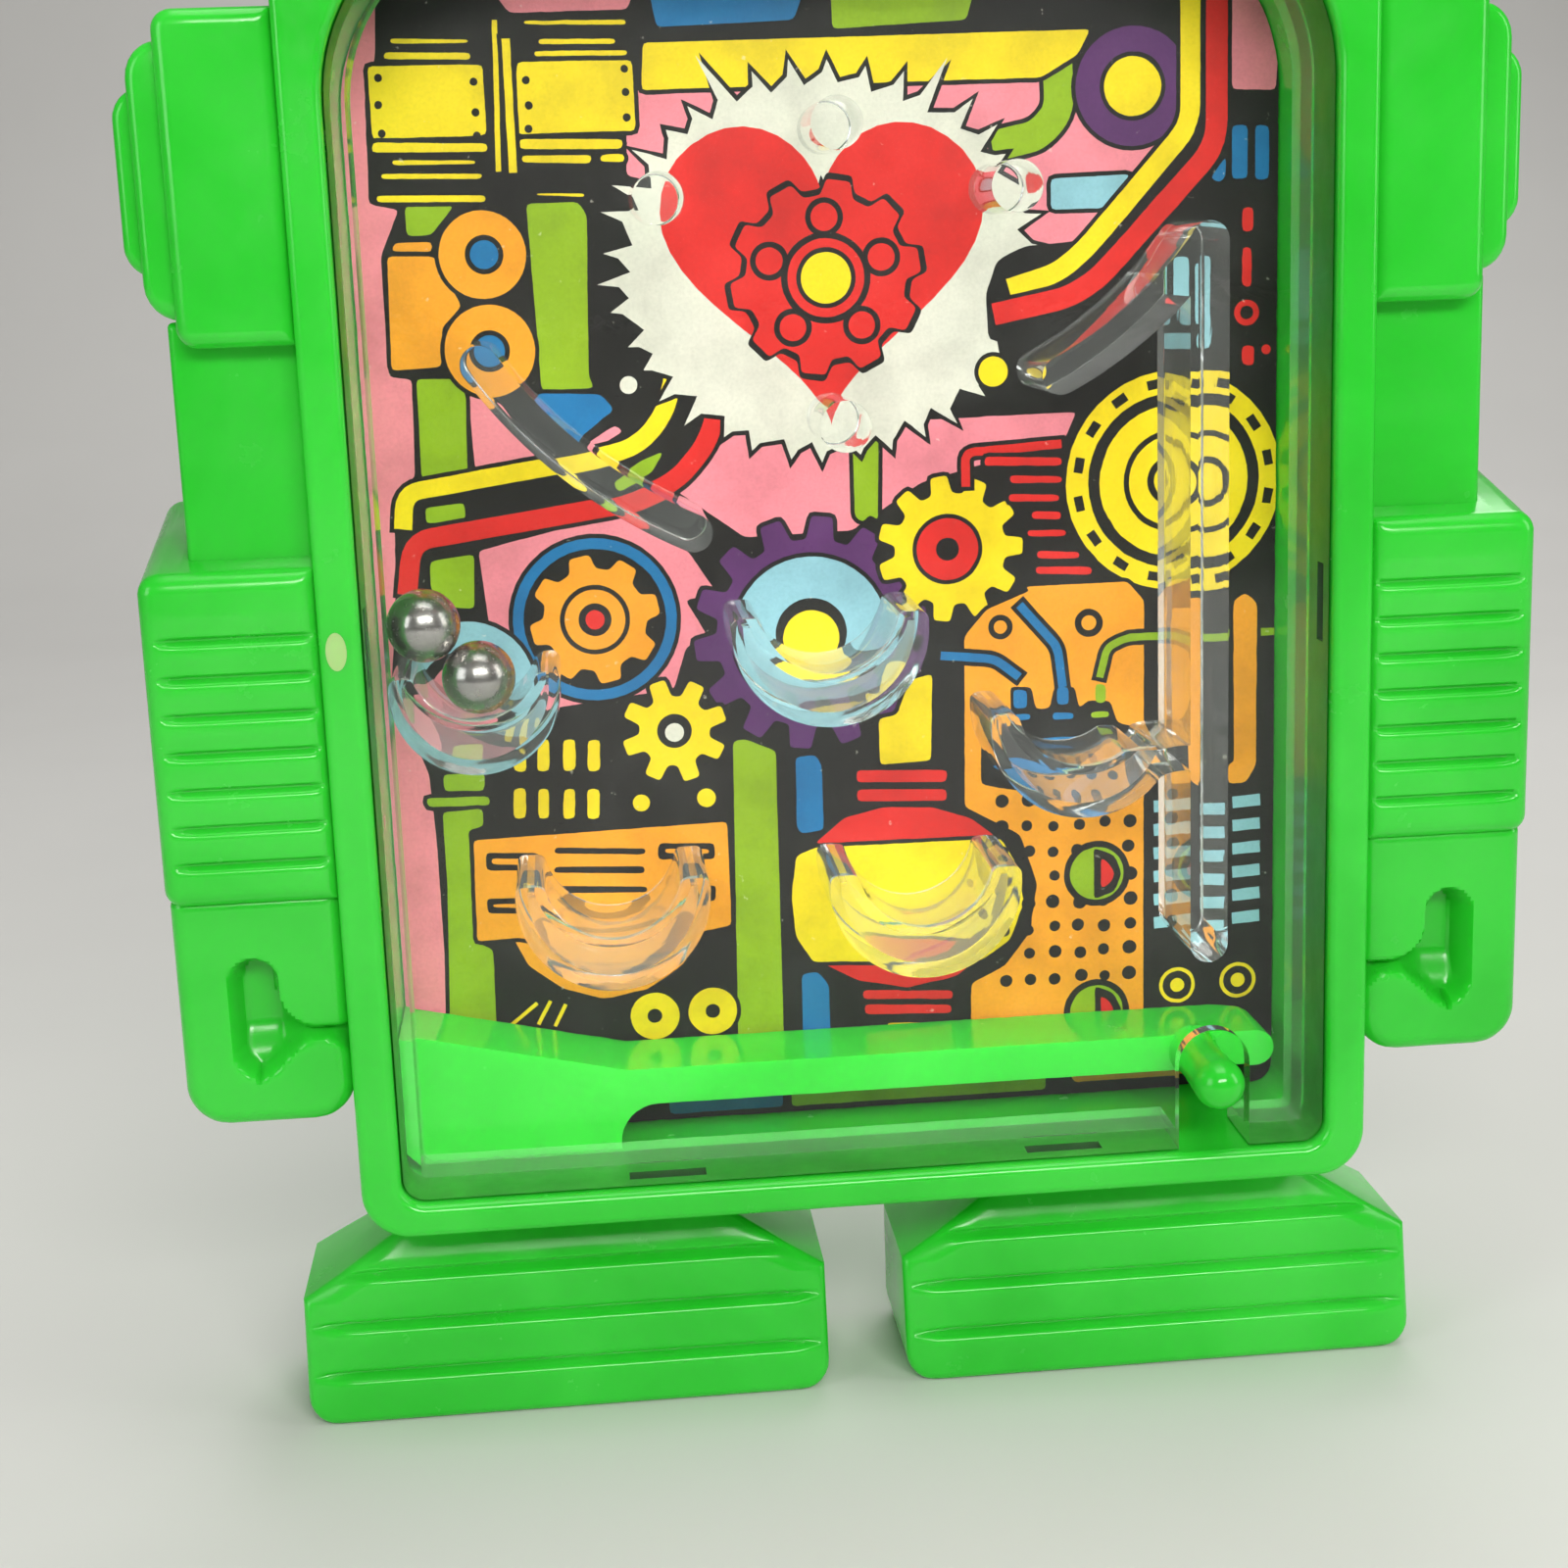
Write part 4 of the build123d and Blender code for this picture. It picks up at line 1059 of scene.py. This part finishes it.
def arm_moulding():
    """Stepped shoulder, upper arm, sleeve and hand in one."""
    z0 = LEG + 0.673 * BODY
    inner = HALF_BODY - 0.05
    near, far = RIM + 0.6, RIM + 14.6
    solids = []
    for start, reach, low, high, inset, edge, corner in (
        (0, 6.8, 0, 18.9, 0, 0.95, 1.2),
        (2, 8.6, 1.6, 17.3, 1.2, 0.7, 2.1),
        (4, 9.7, 4.1, 14.8, 2.4, 0.6, 1.8),
    ):
        x0, x1, y0, y1 = inner + start, HALF_BODY + reach, near + inset, far - inset
        solids.append(plain_block(x0, x1, z0 + low, z0 + high, y0, y1, edge, corner, corner))
    low, high = LEG + 0.516 * BODY - 1.5, z0 + 1.5
    solids.append(plain_block(inner, HALF_BODY + 7.6, low, high, RIM + 3.0, RIM + 12.6, 0.5, 0.3, 0.3))
    return united("arm_right_moulding", solids + [forearm(), hand()], [GREEN])


def foot_moulding():
    """Ribbed foot with a sloping instep; the ledges stop short of its ends."""
    half, middle, r = 17.15, 2.6 + 17.15, 1.9

    def half_width(z):
        if z < 8.2:
            return half - corner_cut(z, 0.0, 99.0, r, 0.0)
        if z < 12.3:
            return half + (10.5 - half) * (z - 8.2) / 4.1
        return 10.5

    def front(x, z):
        smooth = 4.6 + 0.19 * z
        if z > 9.6:
            stepped = smooth = min(6.4 + 1.2 * (z - 9.6) / 2.7, 7.6)
        else:
            step = min(int(z / 3.2), 2)
            below = (step + 1) * 3.2 - z
            stepped = 4.6 + 0.6 * step
            if below < 0.5:
                stepped += 0.5 - math.sqrt(max(0.25 - (0.5 - below) ** 2, 0.0))
        for k in (1, 2, 3):
            t = z - 3.2 * k - 0.12
            stepped += 0.32 * math.exp(-((t / 0.17) ** 2))
        share = eased(half_width(z) - abs(x - middle), 0.55, 1.15)
        return RIM + smooth + (stepped - smooth) * share

    def back(x, z):
        return RIM + 16.5 - 1.6 * eased(z, 7.6, 12.6)

    ledges = [3.2 * k + t for k in (1, 2, 3) for t in (-0.5, -0.36, -0.22, -0.1, 0.0, 0.12, 0.24, 0.36, 0.5)]
    rows = levels(0.0, LEG, 1.3, 0.6, r, ledges + [8.2, 12.3])
    bm = moulded_block(
        lambda z: middle - half_width(z), lambda z: middle + half_width(z), rows, front, back, 0.6, 1.4
    )
    return finished("foot_right_moulding", bm, [GREEN], 40.0)


def mirrored(thing, name):
    """The same moulding for the other side."""
    bm = bmesh.new()
    bm.from_mesh(thing.data)
    bmesh.ops.scale(bm, verts=bm.verts, vec=(-1, 1, 1))
    bmesh.ops.reverse_faces(bm, faces=bm.faces)
    return finished(name, bm, [GREEN], 40.0)


for make, limb in ((arm_moulding, "arm"), (foot_moulding, "foot")):
    right_limb = make()
    left_limb = mirrored(right_limb, limb + "_left_moulding")
    for side, thing in (("right", right_limb), ("left", left_limb)):
        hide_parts(limb + "_" + side)
        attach(thing, "root")


def gate_mark():
    """The small pale oval on the rim where the mould was filled."""
    circle = [(x * MM, z * MM) for x, z in arc(0.0, 0.0, 1.0, 0.0, 345.0, 23)]
    oval = [(0.62 * x - 30.95 * MM, 1.15 * z + 51.9 * MM) for x, z in circle]
    mark = finished("gate_mark", prism(oval, RIM_Y - 0.03 * MM, RIM_Y + 0.3 * MM), [GATE])
    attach(mark, "root")


gate_mark()


def launch_spring():
    """The launch lever as it is moulded: wedge, springy arm and round-ended peg in one."""
    x0, z0 = BLOCK[0].x, BLOCK[0].z
    z_top = BLOCK[1].z
    arm_top, end_x = LEVER[1].z - 0.4 * MM, LEVER[1].x + 0.6 * MM
    arm_low = arm_top - 2.4 * MM
    fillet, tip_round = 2.5 * MM, 1.2 * MM
    root_x = BLOCK[1].x - fillet
    y0, y1 = BLOCK[0].y, BLOCK[1].y
    corner = 1.5 * MM
    outline = [(x0, z0 + corner), (x0 + corner, z0), (root_x, z0)]
    start = root_x + fillet
    outline += list(arc(start, arm_low - fillet, fillet, 180, 90, 8))
    steps = 26
    reach = end_x - tip_round - start
    outline += [(start + reach * i / steps, arm_low) for i in range(1, steps + 1)]
    outline += list(arc(end_x - tip_round, arm_low + tip_round, tip_round, -80, 80, 8))
    outline += [(start + reach * i / steps, arm_top) for i in range(steps, -1, -1)]
    outline += [(root_x + 0.6 * MM, arm_top), (root_x - 0.9 * MM, arm_top + 0.35 * MM), (x0, z_top)]
    body = prism(outline, y0, y1)
    for vert in body.verts:
        over = vert.co.x - (end_x - 2.0 * MM)
        if vert.co.y > y1 - 1e-6 and over > 0:
            vert.co.y -= over * 0.9
    soften(body, 0.22 * MM, 50.0, 2)
    peg_x = (COVER[0].x + COVER[1].x) / 2 + 22.3 * MM
    peg_z = arm_top - tip_round
    tip_y, tip_r = LEVER[0].y, 1.62
    profile = [(1.7, y0 + 0.5 * MM), (1.66, y0), (1.5, y0 - 0.5 * MM), (1.46, y0 - 3.0 * MM)]
    profile += [(1.54, y0 - 4.6 * MM)]
    for a in range(0, 90, 10):
        turn = math.radians(a)
        profile.append((tip_r * math.cos(turn), tip_y + tip_r * MM * (1 - math.sin(turn))))
    peg = bmesh.new()
    count = 40
    turns = [2 * math.pi * k / count for k in range(count)]
    hoops = []
    for r, y in profile:
        places = [(peg_x + r * MM * math.cos(t), y, peg_z + r * MM * math.sin(t)) for t in turns]
        hoops.append([peg.verts.new(place) for place in places])
    tip = peg.verts.new((peg_x, tip_y, peg_z))
    peg.faces.new(hoops[0])
    for a, b in zip(hoops, hoops[1:]):
        for k in range(count):
            peg.faces.new((a[k], b[k], b[(k + 1) % count], a[(k + 1) % count]))
    for k in range(count):
        peg.faces.new((hoops[-1][k], tip, hoops[-1][(k + 1) % count]))
    spring = united("launch_spring", [body, peg], [GREEN])
    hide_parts("lever_block", "launch_lever")
    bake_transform(spring)


launch_spring()

# ---- clear moulding
CLEAR_NODES = [s["node"] for s in frame["record"]["subparts"] if s["material_slot"] == "clear_plastic"]
CUP_RADII = {"cup_wall": (5.2, 3.9), "cup_lane": (5.9, 4.3)}
CUP_WALL = 0.75
WALL_SHADE_RIM = 0.3
FLANGE_RIM = 1.25
PANEL_BACK = COVER[0].y + 1.4 * MM


def depth_in_cover(x, z):
    """How far inside the clear cover's outline a point lies, in millimetres."""
    lo, hi = CARD[0] / MM, CARD[1] / MM
    half, middle, tall = hi.x, (lo.z + hi.z) / 2, (hi.z - lo.z) / 2
    r = 10.9 if z > middle else 1.4
    qx, qz = abs(x) - half + r, abs(z - middle) - tall + r
    return r - math.hypot(max(qx, 0.0), max(qz, 0.0)) - min(max(qx, qz), 0.0)


def cup_core(node, outer_r, hollow_r, wall):
    """The hollow in a cup's back: a thinner crescent inside the cup's own."""
    lo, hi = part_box(node)
    x = (lo.x + hi.x) / 2 / MM
    if node == "cup_lane":
        x = lo.x / MM + outer_r
    outer_z = lo.z / MM + outer_r
    hollow_z = lo.z / MM + 3.3 + hollow_r
    r, h, top = outer_r - wall, hollow_r + wall, outer_z + 0.2
    a = math.degrees(math.asin((top - outer_z) / r))
    b = math.degrees(math.asin((top - hollow_z) / h))
    points = list(arc(x, outer_z, r, 180 - a, 360 + a, 28))
    points += list(arc(x, hollow_z, h, 360 + b, 180 - b, 28))
    return [(px * MM, pz * MM) for px, pz in points]


def clear_moulding():
    """Cover, pins, cups and guides as the one clear moulding they are."""
    solids = []
    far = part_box("pin_top")[1].y
    for node in sorted(CLEAR_NODES, key=lambda n: n != "clear_cover"):
        bm = cad_mesh(node)
        if node != "clear_cover":
            near = min(v.co.y for v in bm.verts)
            for vert in bm.verts:
                if vert.co.y < near + 1e-6:
                    vert.co.y -= 0.3 * MM
            soften(bm, 0.2 * MM, 50.0, 3, lambda e: all(v.co.y > far - 1e-6 for v in e.verts))
        solids.append(bm)
    looks = [CLEAR, FLANGE, WALL_SHADE, PANEL, FROSTED, SLOT_SHADE]
    moulding = united("clear_moulding", solids, looks)
    cores = []
    for node in CLEAR_NODES:
        if node.startswith("cup"):
            outline = cup_core(node, *CUP_RADII.get(node, (6.05, 4.3)), CUP_WALL)
            core = prism(outline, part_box(node)[0].y + 1.2 * MM, far + 1.0 * MM)
            cores.append(finished("core", core, []))
    combine(moulding, cores, "DIFFERENCE")
    for face in moulding.data.polygons:
        face.use_smooth = abs(face.normal.y) < 0.999 and face.area < 2e-5
        depth = depth_in_cover(face.center.x / MM, face.center.z / MM)
        # Tabs inside the wall slots get the painted slot shade.
        if depth < -0.05 and face.center.y > COVER[0].y + 0.5 * MM:
            look = SLOT_SHADE
        # Side faces of the flange against the wall get the painted wall shade.
        elif abs(face.normal.y) < 0.5 and depth < WALL_SHADE_RIM:
            look = WALL_SHADE
        elif abs(face.normal.y) < 0.5 and depth < FLANGE_RIM:
            look = FLANGE
        elif face.normal.y > 0.9 and depth < 1.2:
            look = FROSTED
        elif abs(face.normal.y) > 0.999 and face.center.y < PANEL_BACK:
            look = PANEL
        else:
            look = CLEAR
        face.material_index = looks.index(look)
    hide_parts(*CLEAR_NODES)
    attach(moulding, "root")


clear_moulding()

# ---- steel balls
for name in ("ball_upper", "ball_lower"):
    lo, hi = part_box(name)
    bm = bmesh.new()
    bmesh.ops.create_icosphere(bm, subdivisions=5, radius=(hi.x - lo.x) / 2)
    wear = random.Random(name)
    for vert in bm.verts:
        vert.co += vert.co.normalized() * wear.uniform(-1, 0) * 2e-7
        vert.co += (lo + hi) / 2
    ball = finished(name + "_steel", bm, [STEEL], 60.0)
    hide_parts(name)
    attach(ball, name)


# ---- floor and light
def studio():
    """A plain pale sweep: floor that curves up behind into a wall."""
    bm = bmesh.new()
    profile = [(-2.4, 0.0), (0.35, 0.0)]
    for turn in [math.radians(a) for a in range(10, 91, 10)]:
        profile.append((0.35 + 0.25 * math.sin(turn), 0.25 - 0.25 * math.cos(turn)))
    profile += [(0.60, 1.4)]
    rows = [[bm.verts.new((x, y, z)) for x in (-2.6, 2.6)] for y, z in profile]
    for a, b in zip(rows, rows[1:]):
        bm.faces.new((a[0], a[1], b[1], b[0]))
    n = Nodes("studio_paper")
    tone = n.ramp(n.noise(6.0, 4.0), [(0.3, (0.66, 0.655, 0.64)), (0.7, (0.72, 0.715, 0.70))])
    n.surface(Base_Color=tone, Roughness=0.85, Normal=n.bump(n.noise(900.0, 3.0), 0.1, 0.00005))
    sweep = finished("studio_sweep", bm, [n.material])


def area_light(name, place, target, size, power, colour):
    data = bpy.data.lights.new(name, "AREA")
    data.shape = "RECTANGLE"
    data.size, data.size_y = size
    data.energy = power
    data.color = colour
    lamp = bpy.data.objects.new(name, data)
    lamp.location = place
    lamp.rotation_euler = (Vector(target) - Vector(place)).to_track_quat("-Z", "Y").to_euler()
    bpy.context.scene.collection.objects.link(lamp)


studio()
area_light("key", (0.03, -0.33, 0.22), (0, 0, 0.05), (0.24, 0.06), 0.85, (1.0, 0.98, 0.94))
area_light("top", (0.05, 0.0, 0.60), (0, 0, 0.05), (0.50, 0.36), 1.7, (1.0, 0.99, 0.97))
area_light("back", (0.15, 0.45, 0.40), (0, 0, 0.06), (0.30, 0.20), 0.7, (1.0, 0.99, 0.98))
area_light("fill", (-0.42, -0.26, 0.20), (0, 0, 0.05), (0.22, 0.26), 0.5, (0.98, 0.99, 1.0))
area_light("side", (0.42, -0.14, 0.20), (0, 0, 0.05), (0.14, 0.30), 0.4, (1.0, 0.99, 0.97))
world = bpy.data.worlds.new("studio_world")
scene.world = world
world.use_nodes = True
background = world.node_tree.nodes["Background"]
background.inputs["Color"].default_value = (1.0, 0.97, 0.92, 1.0)
background.inputs["Strength"].default_value = 0.13
